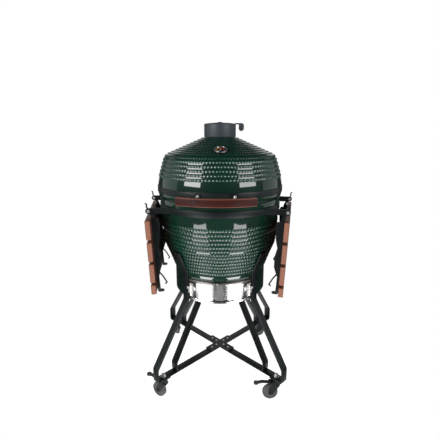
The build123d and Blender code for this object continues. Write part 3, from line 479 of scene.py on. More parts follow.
# %% Dress the frame
DRESS = {
    "fire_box": CLAY, "fire_ring": CLAY, "charcoal_grate": IRON, "cooking_grid": IRON,
    "base_gasket": FELT, "lid_gasket": FELT, "handle_brackets": COAT, "hinge_lower": COAT,
    "hinge_upper": COAT, "hinge_pin": BRIGHT, "hinge_springs": BRIGHT, "lid_band_bolts": BRIGHT,
    "base_band_bolts": BRIGHT, "vent_pivot": SLATE, "thermo_probe": BRIGHT, "draft_screw": BRIGHT,
    "latch_plates": BRIGHT, "latch_lever_left": BRIGHT, "latch_lever_right": BRIGHT,
    "stand_ring": COAT, "brace_hub": COAT, "stand_fasteners": BRIGHT, "shelf_brackets": COAT,
    "shelf_pins": BRIGHT, "shelf_arms_left": COAT, "shelf_arms_right": COAT,
    "thermo_needle": WHITE_PAINT,
}
for key in ("fl", "fr", "rl", "rr"):
    DRESS[f"caster_fork_{key}"] = COAT
for key in ("fl", "fr"):
    DRESS[f"caster_pedal_{key}"] = PLASTIC
for node, material in DRESS.items():
    mesh = NODES[node].data
    mesh.materials.clear()
    mesh.materials.append(material)
print("dressed", len(DRESS))

# %% [markdown]
# ## The ceramic shells
# A shell is one closed outline turned about Z. Its outer side carries rows of small
# raised bumps, staggered from row to row. The height of the surface is the sum of small
# domes, and it is added along the outline's normal. The same height is kept as an
# attribute for the glaze, which is paler on top of a bump: partly thin glaze, partly
# painted shade in the hollows between bumps.

# %% The height of the bumps
BUMP_R = 8.1 * MM
BUMP_H = 2.2 * MM
ROW_PITCH = 19.6 * MM
COLUMN_PITCH = 16.2 * MM
BUMPS_ROUND = 118
COLUMNS = 6 * BUMPS_ROUND
FULL_ROWS = 0.72               # rows wider than this share of the widest have all the bumps


def bump_height(s, radius, angle, rows, widest):
    """Height and slopes of rows of domes. With q the squared distance from a dome's middle
    over its squared radius, the height is 1 - q inside the dome and 0 outside. Returns
    the height, its slope along the line and its slope round the axis, per metre."""
    height = np.zeros((len(s), len(angle)))
    along = np.zeros_like(height)
    around = np.zeros_like(height)
    for k, row in enumerate(rows):
        near = np.abs(s - row) < BUMP_R
        at = np.interp(row, s, radius)
        count = BUMPS_ROUND if at > FULL_ROWS * widest else int(round(2 * np.pi * at / COLUMN_PITCH))
        step = 2 * np.pi / count
        off = np.mod(angle + (k % 2) * step / 2 + step / 2, step) - step / 2
        u = (s[near] - row)[:, None] + 0 * off[None, :]
        v = off[None, :] * at + 0 * u
        left = np.clip(1 - (u**2 + v**2) / BUMP_R**2, 0, None)
        height[near] += left
        along[near] += -2 * u / BUMP_R**2 * (left > 0)
        around[near] += -2 * v / BUMP_R**2 * (left > 0)
    return height, along, around


def row_lines(length, rows, plain=11 * MM):
    """Distances along the line: seven close ones for each row of bumps, coarse elsewhere."""
    close = (np.asarray(rows)[:, None] + np.linspace(-1, 1, 7)[None, :] * BUMP_R * 1.001).ravel()
    ends = np.r_[np.linspace(0, close[0], max(2, int(close[0] / plain) + 2))[:-1],
                 np.linspace(close[-1], length, max(2, int((length - close[-1]) / plain) + 2))[1:]]
    return np.sort(np.r_[close, ends])


print("bump formula ready")

# %% [markdown]
# The outer line gives the smooth wall. The bumps lift it, and the inner line comes back
# inside, so that each shell is one closed skin. The draft hole is left open in the bowl.

# %% The shell
INSIDE_WALL = 0.19             # radius that only the walls reach, not the floor of the bowl


def drop_straight(s, pts, keep):
    """Leave out lines that stand, with both neighbours, on a straight stretch."""
    step = np.diff(pts, axis=0)
    step /= np.linalg.norm(step, axis=1)[:, None]
    straight = np.abs(step[:-1, 0] * step[1:, 1] - step[:-1, 1] * step[1:, 0]) < 1e-5
    straight = np.r_[True, straight, True]
    needed = keep | ~straight | ~np.roll(straight, 1) | ~np.roll(straight, -1)
    needed[[0, -1]] = True
    return s[needed], pts[needed]


def shell(name, outer, inner, rows, material, hole=None):
    """A turned shell from an outer line and an inner line of (radius, height), both from
    the same end. rows are distances along the outer line that carry bumps. hole is
    (half width in degrees, low z, high z) of a window through the wall at the front.
    The point normals come from the bump formula, so that small domes shade truly round."""
    lengths = np.r_[0, np.cumsum(np.linalg.norm(np.diff(outer, axis=0), axis=1))]
    s = row_lines(lengths[-1], rows)
    edges = [] if hole is None else [np.interp(-z, -outer[:, 1], lengths) for z in hole[1:]]
    s = np.sort(np.r_[s, edges])
    pts = np.stack([np.interp(s, lengths, outer[:, k]) for k in range(2)], axis=1)
    near_bumps = (s > min(rows) - 2 * BUMP_R) & (s < max(rows) + 2 * BUMP_R)
    s, pts = drop_straight(s, pts, near_bumps | np.isin(s, edges))
    inner = resample(inner, 30 * MM)
    angle = np.linspace(0, 2 * np.pi, COLUMNS, endpoint=False) - np.pi / 2
    fine = np.gradient(outer, lengths, axis=0)
    tangent = np.stack([np.interp(s, lengths, fine[:, k]) for k in range(2)], axis=1)
    tangent /= np.linalg.norm(tangent, axis=1)[:, None]
    normal = np.stack([tangent[:, 1], -tangent[:, 0]], axis=1)
    if normal[len(normal) // 2, 0] < 0:
        normal = -normal
    lift, along, around = bump_height(s, pts[:, 0], angle, rows, pts[:, 0].max())
    r = pts[:, 0][:, None] + lift * BUMP_H * normal[:, 0][:, None]
    z = pts[:, 1][:, None] + lift * BUMP_H * normal[:, 1][:, None]
    outside = np.stack([r * np.cos(angle), r * np.sin(angle), z], axis=-1)
    tilt_r = normal[:, 0][:, None] - along * BUMP_H * tangent[:, 0][:, None]
    tilt_z = normal[:, 1][:, None] - along * BUMP_H * tangent[:, 1][:, None]
    tilt_a = -around * BUMP_H
    facing = np.stack([tilt_r * np.cos(angle) - tilt_a * np.sin(angle),
                       tilt_r * np.sin(angle) + tilt_a * np.cos(angle), tilt_z], axis=-1)
    ri = inner[:, :1]
    zi = inner[:, 1:]
    inside = np.stack([ri * np.cos(angle), ri * np.sin(angle), zi + 0 * angle], axis=-1)[::-1]
    whole = np.concatenate([outside, inside])
    total = len(whole)
    skip = None
    if hole is not None:
        half = math.radians(hole[0])
        middle = angle + np.pi / COLUMNS
        away = np.abs((middle + np.pi / 2 + np.pi) % (2 * np.pi) - np.pi)
        mid_z = (whole[:, 0, 2] + np.roll(whole[:, 0, 2], -1)) / 2
        radius = np.hypot(whole[:, 0, 0], whole[:, 0, 1])
        wall = (radius > INSIDE_WALL) & (np.roll(radius, -1) > INSIDE_WALL)
        inside_z = (mid_z > hole[1]) & (mid_z < hole[2]) & wall
        skip = inside_z[:, None] & (away < half)[None, :]
    lifts = np.concatenate([lift, np.zeros((len(inside), COLUMNS))]).ravel()
    faces = np.array(grid_faces(total, COLUMNS, wrap_rows=True, skip=skip))
    if outer[0, 1] > outer[-1, 1]:
        faces = faces[:, ::-1]
    used, faces = np.unique(faces, return_inverse=True)
    faces = faces.reshape(-1, 4).tolist()
    obj = add_mesh(name, whole.reshape(-1, 3)[used], faces, material, 50.0, {"lift": lifts[used]})
    free = np.zeros((total, COLUMNS, 3))
    bumpy = (s > min(rows) - 2 * BUMP_R) & (s < max(rows) + 2 * BUMP_R)
    free[: len(s)][bumpy] = facing[bumpy] / np.linalg.norm(facing[bumpy], axis=-1)[..., None]
    obj.data.normals_split_custom_set_from_vertices(free.reshape(-1, 3)[used].tolist())
    print(name, "points", len(used), "faces", len(faces), "rows of bumps", len(rows))
    return obj


# %% [markdown]
# The lid is a short upright wall, a slanting shoulder and a straight cone up to the neck.

# %% The lid
LID_SEAM = 978.5
NECK_R = 82
SHOULDER_R = 256
SHOULDER_Z = 1178.5
NECK_Z = 1253


def cone_z(r):
    """Height of the lid's cone at a radius, in mm: a straight line from shoulder to neck."""
    return SHOULDER_Z + (SHOULDER_R - r) * (NECK_Z - SHOULDER_Z) / (SHOULDER_R - NECK_R)


LID_OUTER = rounded([(302.5, LID_SEAM), (305.5, 984), (306, 1020), (304, 1052), (298.5, 1082), (287, 1119),
                     (277.5, 1152), (270.5, 1168), (SHOULDER_R, SHOULDER_Z), (170, cone_z(170)), (84, cone_z(84)),
                     (NECK_R, NECK_Z)], 12.0) * MM
LID_INNER = rounded([(279.5, LID_SEAM), (279.5, 1040), (260.5, 1100), (249, 1137), (240, 1150), (NECK_R, 1224),
                     (56, 1229)], 10.0) * MM
lid_line = np.r_[0, np.cumsum(np.linalg.norm(np.diff(LID_OUTER, axis=0), axis=1))]
first = np.interp(1.0775, LID_OUTER[:, 1], lid_line)
last = lid_line[-1] - 7 * MM
lid_rows = np.arange(first, last, ROW_PITCH)
lid = shell("lid_shell", LID_OUTER, np.vstack([LID_INNER, [(0.0555, 1.2525)]]), lid_rows, GLAZE)
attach(lid, "lid")
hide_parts("lid_dome")


# %% [markdown]
# The bowl swells from its foot to the belly and rises almost straight to the rim.

# %% The bowl
def bowl_radius(z):
    """Radius in mm between belly and rim: it grows with the 0.6th power of the height."""
    return 281 + (297 - 281) * ((z - 740) / (973.5 - 740)) ** 0.6


upper = [(bowl_radius(z), z) for z in (950, 910, 870, 830, 790, 760)]
lower = [(281, 740), (264, 700), (247, 655), (232.3, 614), (232, 600), (232, 540), (232, 492), (227, 486)]
BOWL_OUTER = rounded([(291, 973.5), (296.8, 968)] + upper + lower + [(120, 486), (1, 486)], 9.0) * MM
BOWL_INNER = rounded([(269, 973.5), (261, 870), (257, 790), (253, 748), (204, 620), (204, 514), (1, 514)], 9.0) * MM
bowl_line = np.r_[0, np.cumsum(np.linalg.norm(np.diff(BOWL_OUTER, axis=0), axis=1))]
start = np.interp(-0.857, -BOWL_OUTER[:, 1], bowl_line)
bowl_rows = start + np.arange(13) * ROW_PITCH
bowl = shell("bowl_shell", BOWL_OUTER, BOWL_INNER, bowl_rows, GLAZE, hole=(30.0, 0.505, 0.570))
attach(bowl, "stand_and_base")
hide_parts("base_bowl")
print("lid and bowl done")

# %% [markdown]
# ## The wooden grip and the shelf boards
# The grip is a bar of planed wood bent to the lid's curve: a bevelled section carried
# round an arc, drawn in at both ends. The boards are straight, with eased edges. On ends
# and on the grip's underside the wood is paler where hands and weather wear it; on the
# grip's upper bevels the paler wood is partly wear and partly a painted highlight.

# %% The grip
def bar(line, section, across, wear_and_highlight_section, end_inset, grain_shift=0.0):
    """A wooden bar: a section carried along a line and drawn in by end_inset at both ends.
    Gives points, faces, the grain attribute (distance along, then the section's two
    numbers) and the attribute for paler wood: near 1 on the ends for wear, elsewhere the
    section's own values, which on the grip paint a highlight on the upper bevels."""
    line = np.asarray(line, dtype=float)
    tangent = np.gradient(line, axis=0)
    tangent /= np.linalg.norm(tangent, axis=1)[:, None]
    line = np.vstack([line[:1], line, line[-1:]])
    tangent = np.vstack([tangent[:1], tangent, tangent[-1:]])
    line[1] += tangent[1] * end_inset
    line[-2] -= tangent[-2] * end_inset
    across = np.asarray(across, dtype=float)
    normal = np.cross(tangent, across)
    normal /= np.linalg.norm(normal, axis=1)[:, None]
    body = np.broadcast_to(section, (len(line), *section.shape)).copy()
    body[[0, -1]] -= np.sign(section) * end_inset
    p = line[:, None, :] + body[..., 0, None] * normal[:, None, :] + body[..., 1, None] * across
    n = len(section)
    s = np.r_[0, np.cumsum(np.linalg.norm(np.diff(line, axis=0), axis=1))]
    depth = body.reshape(-1, 2)
    grain = np.stack([np.repeat(s, n) + grain_shift, depth[:, 0] + grain_shift, depth[:, 1]], axis=1)
    wear_and_highlight = np.broadcast_to(wear_and_highlight_section, (len(line), n)).copy()
    wear_and_highlight[[0, -1]] = END_WORN
    return p.reshape(-1, 3), tube_faces(len(line), n), grain, wear_and_highlight.ravel()


END_WORN = 0.9
HANDLE_FACE = 365 * MM


def grip():
    """The grip on the lid: a 24 by 37 mm section with 5 mm bevels on a 28.8 degree half arc."""
    t = 12.0
    h = 18.5
    b = 5.0
    outline = [(t, h - b), (t - 1, h - 1.5), (t - b, h), (b - t, h), (1 - t, h - 1.5), (-t, h - b)]
    outline += [(x, -z) for x, z in outline[::-1]]
    section = np.array(outline) * MM
    # Paler wood per section point: hands wear the underside, and the upper bevels carry a painted highlight as well
    # as wear.
    wear_and_highlight = np.array([0.04, 0.75, 0.6, 0.3, 0.2, 0.1, 0.1, 0.2, 0.3, 0.5, 0.6, 0.04])
    angle = np.radians(np.linspace(-28.8, 28.8, 61)) - np.pi / 2 + TURN
    line = np.stack([np.cos(angle), np.sin(angle), 0 * angle], axis=1) * 353 * MM
    line[:, 2] = 993.5 * MM
    p, f, grain, w = bar(line, section, (0, 0, 1), wear_and_highlight, 5 * MM)
    return add_mesh("handle_grip_wood", p, f, GRIP_WOOD, 25.0, {"grain": grain, "wear_and_highlight": w})


wood_grip = grip()
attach(wood_grip, "lid")
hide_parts("handle_grip")


def screw_heads():
    """Two dark flat screw heads standing just proud of the face of the grip."""
    outline = [(0.01, -7), (5.2, -7), (5.2, 0.3), (4.7, 0.5), (2.6, 0.45), (2.2, 0.2), (0.01, 0.15)]
    p, faces = turned(outline, 32)
    faces = [face[::-1] for face in faces]
    outwards = np.stack([p[:, 2] + HANDLE_FACE, p[:, 1], p[:, 0] + 992.5 * MM], axis=1)
    parts = [(turn_about_z(at_azimuth(outwards, azimuth), TURN), faces) for azimuth in (-14.5, 14.5)]
    return add_mesh("grip_screw_heads", *gather(parts), COAT, 40)


heads = screw_heads()
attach(heads, "lid")
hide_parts("handle_screws")
print("grip done")

# %% [markdown]
# A shelf hangs from a pivot line beside the bowl. Its boards are stacked downwards with
# even gaps, the lowest one half as wide.

# %% Shelf boards
def shelf_frame(side):
    """Pivot point, outward direction and along direction of a shelf, in metres."""
    phi = math.radians(side * 81.0 - 90) + TURN
    out = np.array([math.cos(phi), math.sin(phi), 0])
    along = np.array([-math.sin(phi), math.cos(phi), 0])
    return out * 0.345 + np.array([0, 0, 0.930]), out, along


def boards(side):
    """Four boards hung from the pivot line, leaning in by 2.6 degrees at the bottom."""
    pivot, out, along = shelf_frame(side)
    lean = math.radians(2.6)
    down = np.array([0, 0, -1]) * math.cos(lean) - out * math.sin(lean)
    face = out * math.cos(lean) - np.array([0, 0, 1]) * math.sin(lean)
    parts = []
    grains = []
    worns = []
    drop = 28 * MM
    for k, width in enumerate((88, 88, 88, 44)):
        w = width * MM
        centre = pivot + face * (12.6 - 11.5) * MM + down * (drop + w / 2)
        section = slab_section(w, 23 * MM, 3 * MM)
        ends = np.linspace(-0.25, 0.25, 12)[:, None]
        line = centre + along * ends
        wear_and_highlight = np.full(len(section), 0.12)
        p, f, grain, wv = bar(line, section, -down, wear_and_highlight, 2.5 * MM, 0.37 * k + side)
        parts.append((p, f))
        grains.append(grain)
        worns.append(wv)
        drop += w + 13 * MM
    verts, faces = gather(parts)
    name = "shelf_boards_" + ("left" if side < 0 else "right")
    attributes = {"grain": np.concatenate(grains), "wear_and_highlight": np.concatenate(worns)}
    return add_mesh(name, verts, faces, SLAT_WOOD, 30.0, attributes)


for side, name in ((-1, "left"), (1, "right")):
    obj = boards(side)
    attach(obj, "shelf_" + name)
    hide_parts("shelf_slats_" + name)
print("wooden pieces done")

# %% [markdown]
# ## The steel strips of the stand
# Each leg is one flat strip, bent over a bar: it hugs the bowl, runs down the foot,
# leans out to the caster and turns in under the cross brace. Bends have a small radius
# and edges are eased, so that they catch a thin line of light.

# %% Stand
def strips(name, line, azimuths, width=40.0, thick=6.0, bend=9.0):
    """The same bent strip at several azimuths, as one piece."""
    line = rounded(line, bend) * MM
    line = np.stack([line[:, 0], 0 * line[:, 0], line[:, 1]], axis=1)
    p, f = swept(line, slab_section(width * MM, thick * MM, 1.1 * MM))
    return add_mesh(name, *gather([(at_azimuth(p, az), f) for az in azimuths]), COAT, 40.0)


LEG_LINE = [(286.5, 730), (235.3, 612), (235.3, 474), (432, 178), (432, 109), (362, 109)]
for name, az in (("fl", -45), ("fr", 45), ("rl", -135), ("rr", 135)):
    leg = strips("leg_strip_" + name, LEG_LINE, [az])
    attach(leg, "stand_and_base")
    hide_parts("leg_" + name)
STRUT_LINE = [(165, 476.1), (131, 476.1), (321, 162), (321, 121.3), (291, 121.3)]
BRACE_LINE = [(24, 115.3), (226, 115.3), (428.7, 115.3)]
DIAGONALS = (45, 135, 225, 315)
for name, line, node in (("strut_strips", STRUT_LINE, "leg_struts"), ("brace_strips", BRACE_LINE, "brace_arms")):
    obj = strips(name, line, DIAGONALS)
    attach(obj, "stand_and_base")
    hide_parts(node)
print("stand done")

# %% [markdown]
# ## Bands
# A band is a thin flat ring with eased edges, slightly crowned by the pull of its bolts.

# %% Bands
BAND_T = 3
BAND_EDGE = 0.9


def band(name, radius, node, body):
    """A ring over the height of its node, from the radius outwards, crowned by 0.15 mm."""
    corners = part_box(node)
    z0 = corners[0][2] / MM
    z1 = corners[1][2] / MM
    r1 = radius + BAND_T
    outline = [(radius, z0), (r1 - BAND_EDGE, z0), (r1 - 0.2, z0 + 0.3), (r1, z0 + BAND_EDGE)]
    outline += [(r1 + 0.15, (z0 + z1) / 2)]
    outline += [(r1, z1 - BAND_EDGE), (r1 - 0.2, z1 - 0.3), (r1 - BAND_EDGE, z1), (radius, z1)]
    obj = lathe(name, outline, COAT, around=256, sharp=50)
    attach(obj, body)
    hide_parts(node)
    print(name, "from", round(z0, 1), "to", round(z1, 1))


band("lid_band_ring", 306.3, "lid_band", "lid")
band("base_band_ring", 297.3, "base_band", "stand_and_base")

# %% [markdown]
# ## Casters
# The wheel is a dark moulded disc with a dished side inside a pale tread.

# %% Wheels
CASTERS = {"fl": (-1, -1, 145.0), "fr": (1, -1, 184.0), "rl": (-1, 1, 92.0), "rr": (1, 1, 172.0)}


CASTER_SPREAD = 0.276
CASTER_TRAIL = 0.030
WHEEL_R = 0.0375


def wheel_place(key):
    """The map from a wheel drawn about Z to its caster: it trails behind the swivel."""
    sx, sy, heading = CASTERS[key]
    h = math.radians(heading)
    forward = np.array([math.cos(h), math.sin(h), 0])
    axle = np.array([-math.sin(h), math.cos(h), 0])
    centre = np.array([sx * CASTER_SPREAD, sy * CASTER_SPREAD, WHEEL_R]) + forward * CASTER_TRAIL

    def place(p):
        return centre + p[:, 0:1] * forward + p[:, 1:2] * np.array([0, 0, 1.0]) - p[:, 2:3] * axle
    return place


def both_sides(half):
    """Half an outline, and the same half again on the other side of the wheel."""
    return half + [(r, -z) for r, z in half[::-1]]


TYRE_LINE = both_sides([(30, -10.6), (33, -11.6), (35.2, -10.6), (36.9, -8), (37.5, -5)])
HUB_LINE = both_sides([(4.05, -12), (10, -12), (11.5, -10.8), (12.5, -9.3), (24, -8.2), (27.5, -9), (29.8, -10.6)])
for key in CASTERS:
    tyre = lathe("tyre_" + key, TYRE_LINE, TREAD, 72, 45, wheel_place(key))
    hub = lathe("hub_" + key, HUB_LINE, HUB, 72, 45, wheel_place(key))
    for obj in (tyre, hub):
        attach(obj, "wheel_" + key)
    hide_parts("caster_wheel_" + key)
print("wheels done")

# %% [markdown]
# ## Thermometer
# A chrome ring round a black dial. The coloured heat bands run from yellow at the left,
# over orange, to deep red at the right. The dial's own attributes hold the turn and the
# distance of each point, and the colours are drawn from those.

# %% Thermometer
CONE = math.atan2(NECK_Z - SHOULDER_Z, SHOULDER_R - NECK_R)
DIAL_AT = 216                  # radius on the cone, in mm
DIAL_R = 24.7 * MM
DIAL_RISE = 6.3 * MM
DIAL_T = 1.0 * MM


def on_cone(p):
    """Points drawn on z = 0 set on the lid's cone at the thermometer."""
    p = np.asarray(p, dtype=float)
    c = math.cos(CONE)
    s = math.sin(CONE)
    x = p[:, 0] * c + p[:, 2] * s + DIAL_AT * MM
    z = -p[:, 0] * s + p[:, 2] * c + cone_z(DIAL_AT) * MM
    return at_azimuth(np.stack([x, p[:, 1], z], axis=1), 0.6)


def dial_face():
    """Black print with coloured heat bands and pale ticks, by turn and by reach."""
    kit = Kit("dial_print", rough=0.35, coat=0.4, coat_rough=0.1)
    turn = kit.attribute("turn", out=2)
    reach = kit.attribute("reach", out=2)
    warm = kit.mix(turn.step(0.30, 0.46), (0.90, 0.62, 0.06), (0.80, 0.22, 0.03))
    hot = kit.mix(turn.step(0.46, 0.55), warm, (0.70, 0.05, 0.06))
    hot = kit.mix(turn.step(0.66, 0.80), hot, (0.80, 0.28, 0.36))
    ring = reach.step(0.50, 0.53) * (1.0 - reach.step(0.80, 0.83))
    ring = ring * turn.step(0.10, 0.11) * (1.0 - turn.step(0.90, 0.91))
    ticks = (turn * 251.3).maths("COSINE").step(0.80, 0.92)
    ticks = ticks * reach.step(0.84, 0.86) * (1.0 - reach.step(0.94, 0.96))
    base = kit.mix(ring, (0.012, 0.012, 0.013), hot)
    kit.set(Base_Color=kit.mix(ticks, base, (0.8, 0.8, 0.76)))
    return kit.material


def dial():
    """A thin plate with a small hole: a flat ring of points above and one below."""
    rings = 14
    around = 96
    reach = np.r_[np.linspace(1, 0.09, rings), np.linspace(0.09, 1, rings)]
    height = np.repeat([DIAL_RISE, DIAL_RISE - DIAL_T], rings)
    angle = np.linspace(0, 2 * np.pi, around, endpoint=False)
    r = reach[:, None] * DIAL_R
    p = np.stack([r * np.cos(angle), r * np.sin(angle), height[:, None] + 0 * angle], axis=-1).reshape(-1, 3)
    clockwise = np.tile(1 - angle / (2 * np.pi), 2 * rings)
    return add_mesh("dial_plate", on_cone(p), grid_faces(2 * rings, around, wrap_rows=True), dial_face(), 40,
                    {"turn": clockwise, "reach": np.repeat(reach, around)})


print("dial ready")

# %% [markdown]
# Round the dial go a case, a bright rolled lip, a sleeve and a clear lens. The case's wall takes the black coat, as
# painted shade under the lip.

# %% Thermometer case
CASE_LINE = [(4, 0.3), (27, 0.3), (28.4, 1.6), (28.8, 4), (28.8, 8.9), (25.2, 8.9), (25, 5), (4, 5)]
# The case wall takes the black coat: painted shade beneath the bright lip.
case = lathe("thermo_shaded_wall", CASE_LINE, COAT, 96, 40, on_cone)
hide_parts("thermo_case")
lip_turn = np.linspace(0, 2 * np.pi, 20, endpoint=False)
LIP_LINE = np.stack([27.5 + 2.5 * np.cos(lip_turn), 9.7 + 1.4 * np.sin(lip_turn)], axis=1)
lip = lathe("thermo_bezel", LIP_LINE, CHROME, 96, 60, on_cone)
SLEEVE_LINE = [(24.72, 6.4), (25.1, 6.4), (25.1, 9.6), (24.72, 9.5)]
sleeve = lathe("dial_sleeve", SLEEVE_LINE, PLASTIC, 96, 40, on_cone)
plate = dial()
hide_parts("thermo_dial")
glass_kit = Kit("dial_glass", rough=0.02, ior=1.45, base=(1, 1, 1))
glass_kit.shader.inputs["Transmission Weight"].default_value = 1.0
LENS_LINE = [(0.01, 9.1), (24.7, 9.1), (24.7, 9.8), (23.6, 10.2), (0.01, 10.3)]
lens = lathe("dial_lens", LENS_LINE, glass_kit.material, 96, 40, on_cone)
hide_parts("thermo_lens")
for obj in (case, lip, sleeve, plate, lens):
    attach(obj, "lid")
print("thermometer done")

# %% [markdown]
# ## The vent on top
# An upright cast cup with a softened foot carries a shallow domed cap that turns on it.
# Both have slots in their tops, so that turning the cap opens or shuts them. The tops
# are built as an inner disc, an outer ring and the spokes between the slots. A flat
# lever leaves the cap's edge and turns down at its end.

# %% Vent
def spokes(outline, first):
    """The webs between the slots, each carried over the angle that a slot leaves free."""
    step = 360.0 / SLOTS
    return [arc_piece(outline, first + SLOT_DEG + k * step, first + (k + 1) * step, 12) for k in range(SLOTS)]


def flat_plate(outline, half):
    """An outline in the radius-height plane made into a flat plate with eased edges."""
    outline = np.asarray(outline, dtype=float) * MM
    step = np.roll(outline, -1, axis=0) - np.roll(outline, 1, axis=0)
    inwards = np.stack([-step[:, 1], step[:, 0]], axis=1) / np.linalg.norm(step, axis=1)[:, None]
    layers = [(-half, PLATE_EDGE), (PLATE_EDGE - half, 0), (half - PLATE_EDGE, 0), (half, PLATE_EDGE)]
    p = []
    for y, inset in layers:
        flat = outline + inwards * inset * MM
        p.append(np.stack([flat[:, 0], np.full(len(flat), y * MM), flat[:, 1]], axis=1))
    return at_azimuth(np.concatenate(p), 90), tube_faces(len(layers), len(outline))


PLATE_EDGE = 0.8
SLOTS = 4
SLOT_DEG = 38.0
print("vent tools ready")

# %% [markdown]
# The cup, the cap and the turned-down end of its lever.

# %% The vent's pieces
CROWN = [(77, 1310.0), (77, 1314.4), (76.4, 1315.8), (75, 1316.8), (68, 1318.2), (62, 1319.1)]
cup_wall = [(58, 1253.3), (72.5, 1253.3), (75.2, 1253.9), (76.6, 1255.4), (77, 1257.5), (77, 1309.2), (76.6, 1309.7),
            (65, 1309.7), (65, 1304.7), (71, 1304.7), (71, 1259.3), (58, 1259.3)]
cup_parts = [turned(cup_wall), turned([(4, 1304.7), (18, 1304.7), (18, 1309.7), (4, 1309.7)], 64)]
cup_parts += spokes([(17.8, 1304.7), (65.2, 1304.7), (65.2, 1309.7), (17.8, 1309.7)], 26)
vent_cup = add_mesh("vent_cup", *gather(cup_parts), SLATE, 35)
cap_parts = [turned(CROWN + [(62, 1310.0)]),
             turned([(4.1, 1310.0), (18, 1310.0), (18, 1322.3), (12, 1322.5), (4.1, 1322.5)], 64)]
cap_parts += spokes([(17.8, 1310.0), (62.2, 1310.0), (62.2, 1319.1), (50, 1320.4), (35, 1321.6), (17.8, 1322.3)], 71)
bend = [(103.5 + 12.4 * math.cos(a), 1308.0 + 12.4 * math.sin(a)) for a in np.linspace(0, math.pi / 2, 12)]
lever = [(74, 1314.2), (88, 1314.2), (90.2, 1313.3), (91.1, 1311.2), (91.1, 1307.9), (115.9, 1307.9)]
lever += bend + [(74, 1320.4)]
cap_parts.append(flat_plate(lever, 5))
vent_cap = add_mesh("vent_cap", *gather(cap_parts), SLATE, 35)
end = [(103.5 + 12.4 * math.cos(a), 1295.5 + 12.4 * math.sin(a)) for a in np.linspace(math.pi, 2 * math.pi, 22)]
vent_grip = add_mesh("vent_grip", *flat_plate([(91.1, 1307.6)] + end + [(115.9, 1307.6)], 5), SLATE, 35)
for obj, node, body in (
    (vent_cup, "vent_base", "lid"),
    (vent_cap, "vent_disc", "vent_cap"),
    (vent_grip, "vent_knob", "vent_cap"),
):
    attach(obj, body)
    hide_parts(node)
print("vent done")

# %% [markdown]
# ## Draft doors and their frame
# The sheet is polished like a mirror, so its curve has to be truly smooth: each sheet is
# an arc with a fine step.

# %% Draft steel
def block(r0, r1, z0, z1, e=0.5):
    """A rounded rectangle in radius and height."""
    low = [(r0, z0), (r1 - e, z0), (r1 - 0.15, z0 + 0.15), (r1, z0 + e)]
    return low + [(r1, z1 - e), (r1 - 0.15, z1 - 0.15), (r1 - e, z1), (r0, z1)]


def bead(r, rise, z0, z1, steps=9):
    """A rolled edge: a shallow half round standing out from a radius."""
    t = np.linspace(0, np.pi, steps)
    middle = (z0 + z1) / 2
    half = (z1 - z0) / 2
    return [(r + rise * math.sin(a), middle - half * math.cos(a)) for a in t]


A = 38.3                       # half the frame's span, in degrees
SIDE = 9.2                     # width of a side plate, in degrees
top_rail = [
    arc_piece(bead(237.0, 2.6, 580, 592), -A, A),
    arc_piece(block(232.3, 237.1, 586.5, 592), -A, A),
]
frame_parts = [
    arc_piece(bead(237.0, 2.6, 488, 500), -A, A),
    arc_piece(block(232.3, 241.2, 488, 491.5), -A, A),
    arc_piece(block(234.5, 235.0, 577, 587), -A, A),
    arc_piece(block(234.5, 235.0, 490, 500), -A, A),
    arc_piece(block(237.0, 238.2, 499, 581), -A, -A + SIDE, 12),
    arc_piece(block(237.0, 238.2, 499, 581), A - SIDE, A, 12),
]
# The top rail takes the darker copy of the frame's steel: painted shade.
top = add_mesh("draft_top_rail", *gather(top_rail), SHADED_RAIL_STEEL, 40)
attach(top, "stand_and_base")
obj = add_mesh("draft_rails", *gather(frame_parts), STEEL, 40)
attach(obj, "stand_and_base")
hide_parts("draft_frame")
print("draft frame done")

# %% [markdown]
# Two curved sheets slide in the frame, the left one in front with a small pull.

# %% Draft doors
for name, r, az0, az1 in (("left", 235.2, -29.6, 4.4), ("right", 233.0, -3.3, 30.7)):
    parts = [arc_piece(block(r, r + 1.2, 492.3, 585.7, 0.3), az0, az1)]
    if name == "left":
        parts.append(arc_piece(block(r + 1.0, r + 5, 502, 575, 0.6), az1 - 0.5, az1, 4))
    obj = add_mesh("draft_sheet_" + name, *gather(parts), STEEL, 40)
    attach(obj, "door_" + name)
    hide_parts("draft_door_" + name)
print("draft doors done")

# %% [markdown]
# ## Floor, light and camera
# Two tall soft boxes stand left and right of the viewer, and two low glowing panels lie
# on the floor in front of them. The floor is pale and fades into a white background.

# %% Studio
def area(name, centre, target, width, height, power):
    """A rectangular white light at a place, facing a target."""
    light = bpy.data.lights.new(name, "AREA")
    light.shape = "RECTANGLE"
    light.size = width
    light.size_y = height
    light.energy = power
    obj = bpy.data.objects.new(name, light)
    obj.location = centre
    obj.rotation_euler = (Vector(target) - Vector(centre)).to_track_quat("-Z", "Y").to_euler()
    bpy.context.scene.collection.objects.link(obj)
    return obj


def floor_panel(name, azimuth, near, far, width, radiance):
    """A glowing panel lying on the floor, from near to far out along an azimuth."""
    az = math.radians(azimuth)
    mid = (near + far) / 2
    x = mid * math.sin(az)
    y = -mid * math.cos(az)
    panel = area(name, (x, y, 0.01), (x, y, 2.0), width, far - near, radiance * math.pi * width * (far - near))
    panel.rotation_euler = (math.pi, 0, az)


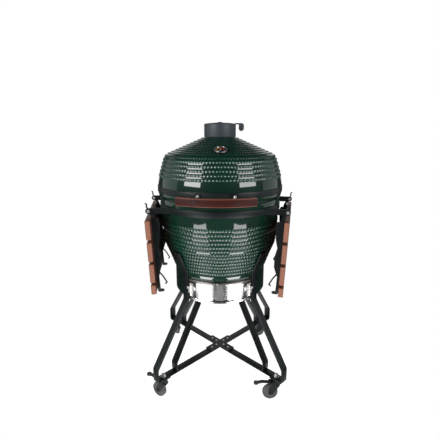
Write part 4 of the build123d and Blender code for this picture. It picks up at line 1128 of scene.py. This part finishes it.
for side, watts in ((-1, 78), (1, 58)):
    az = math.radians(48) * side
    x = 2.7 * math.sin(az)
    y = -2.7 * math.cos(az)
    area(f"soft_box_{side}", (x, y, 1.85), (0, 0, 1.85), 1.45, 1.3, watts)
    floor_panel(f"floor_near_{side}", 33 * side, 0.80, 1.25, 0.55, 14.0)
    floor_panel(f"floor_mid_{side}", 43 * side, 1.25, 1.85, 1.40, 2.1)
    floor_panel(f"floor_far_{side}", 37 * side, 1.85, 2.70, 1.10, 8.0)
    area(f"side_wall_{side}", (2.6 * side, 0.5, 1.2), (0, 0, 1.0), 2.2, 2.2, 10)
floor_panel("floor_middle", 0, 1.05, 1.75, 0.45, 0.42)
area("back_light", (0, 2.4, 1.6), (0, 0, 0.9), 3.0, 1.8, 14)
print("lights", len(bpy.data.lights))

# %% [markdown]
# The floor is a small pale disc under the casters. The camera sees a white world, which
# gives almost no light itself.

# %% Floor and background
FLOOR_R = 0.52
floor_kit = Kit("pale_floor", rough=0.9, base=(0.55, 0.55, 0.55))
floor_kit.shader.inputs["Emission Color"].default_value = (1, 1, 1, 1)
floor_kit.shader.inputs["Emission Strength"].default_value = 0.8
ring = np.linspace(0, 2 * np.pi, 96, endpoint=False)
floor_points = np.stack([FLOOR_R * np.cos(ring), FLOOR_R * np.sin(ring), 0 * ring], axis=1)
floor = add_mesh("floor", floor_points, [list(range(96))], floor_kit.material)

world = bpy.data.worlds.new("studio")
bpy.context.scene.world = world
world.use_nodes = True
tree = world.node_tree
back = tree.nodes["Background"]
seen = tree.nodes.new("ShaderNodeLightPath")
level = tree.nodes.new("ShaderNodeMapRange")
tree.links.new(seen.outputs["Is Camera Ray"], level.inputs["Value"])
level.inputs["To Min"].default_value = 0.03
level.inputs["To Max"].default_value = 1.0
back.inputs["Color"].default_value = (1, 1, 1, 1)
tree.links.new(level.outputs[0], back.inputs["Strength"])

print("floor and background done")

# %% [markdown]
# The camera stands at chest height, looks slightly down and takes a wide view.

# %% Camera
TILT = 0.239
FILM = 36.0
LENS_SHARE = 0.7922727         # focal length as a share of the film's width
camera = bpy.data.cameras.new("camera")
camera.sensor_width = FILM
camera.lens = FILM * LENS_SHARE
camera.clip_end = 100
eye = bpy.data.objects.new("camera", camera)
eye.location = (0, -1.750, 1.264)
eye.rotation_euler = (math.pi / 2 - TILT, 0, 0)
bpy.context.scene.collection.objects.link(eye)
bpy.context.scene.camera = eye
bpy.context.scene.view_settings.view_transform = "Standard"
print("camera at", tuple(round(v, 3) for v in eye.location))
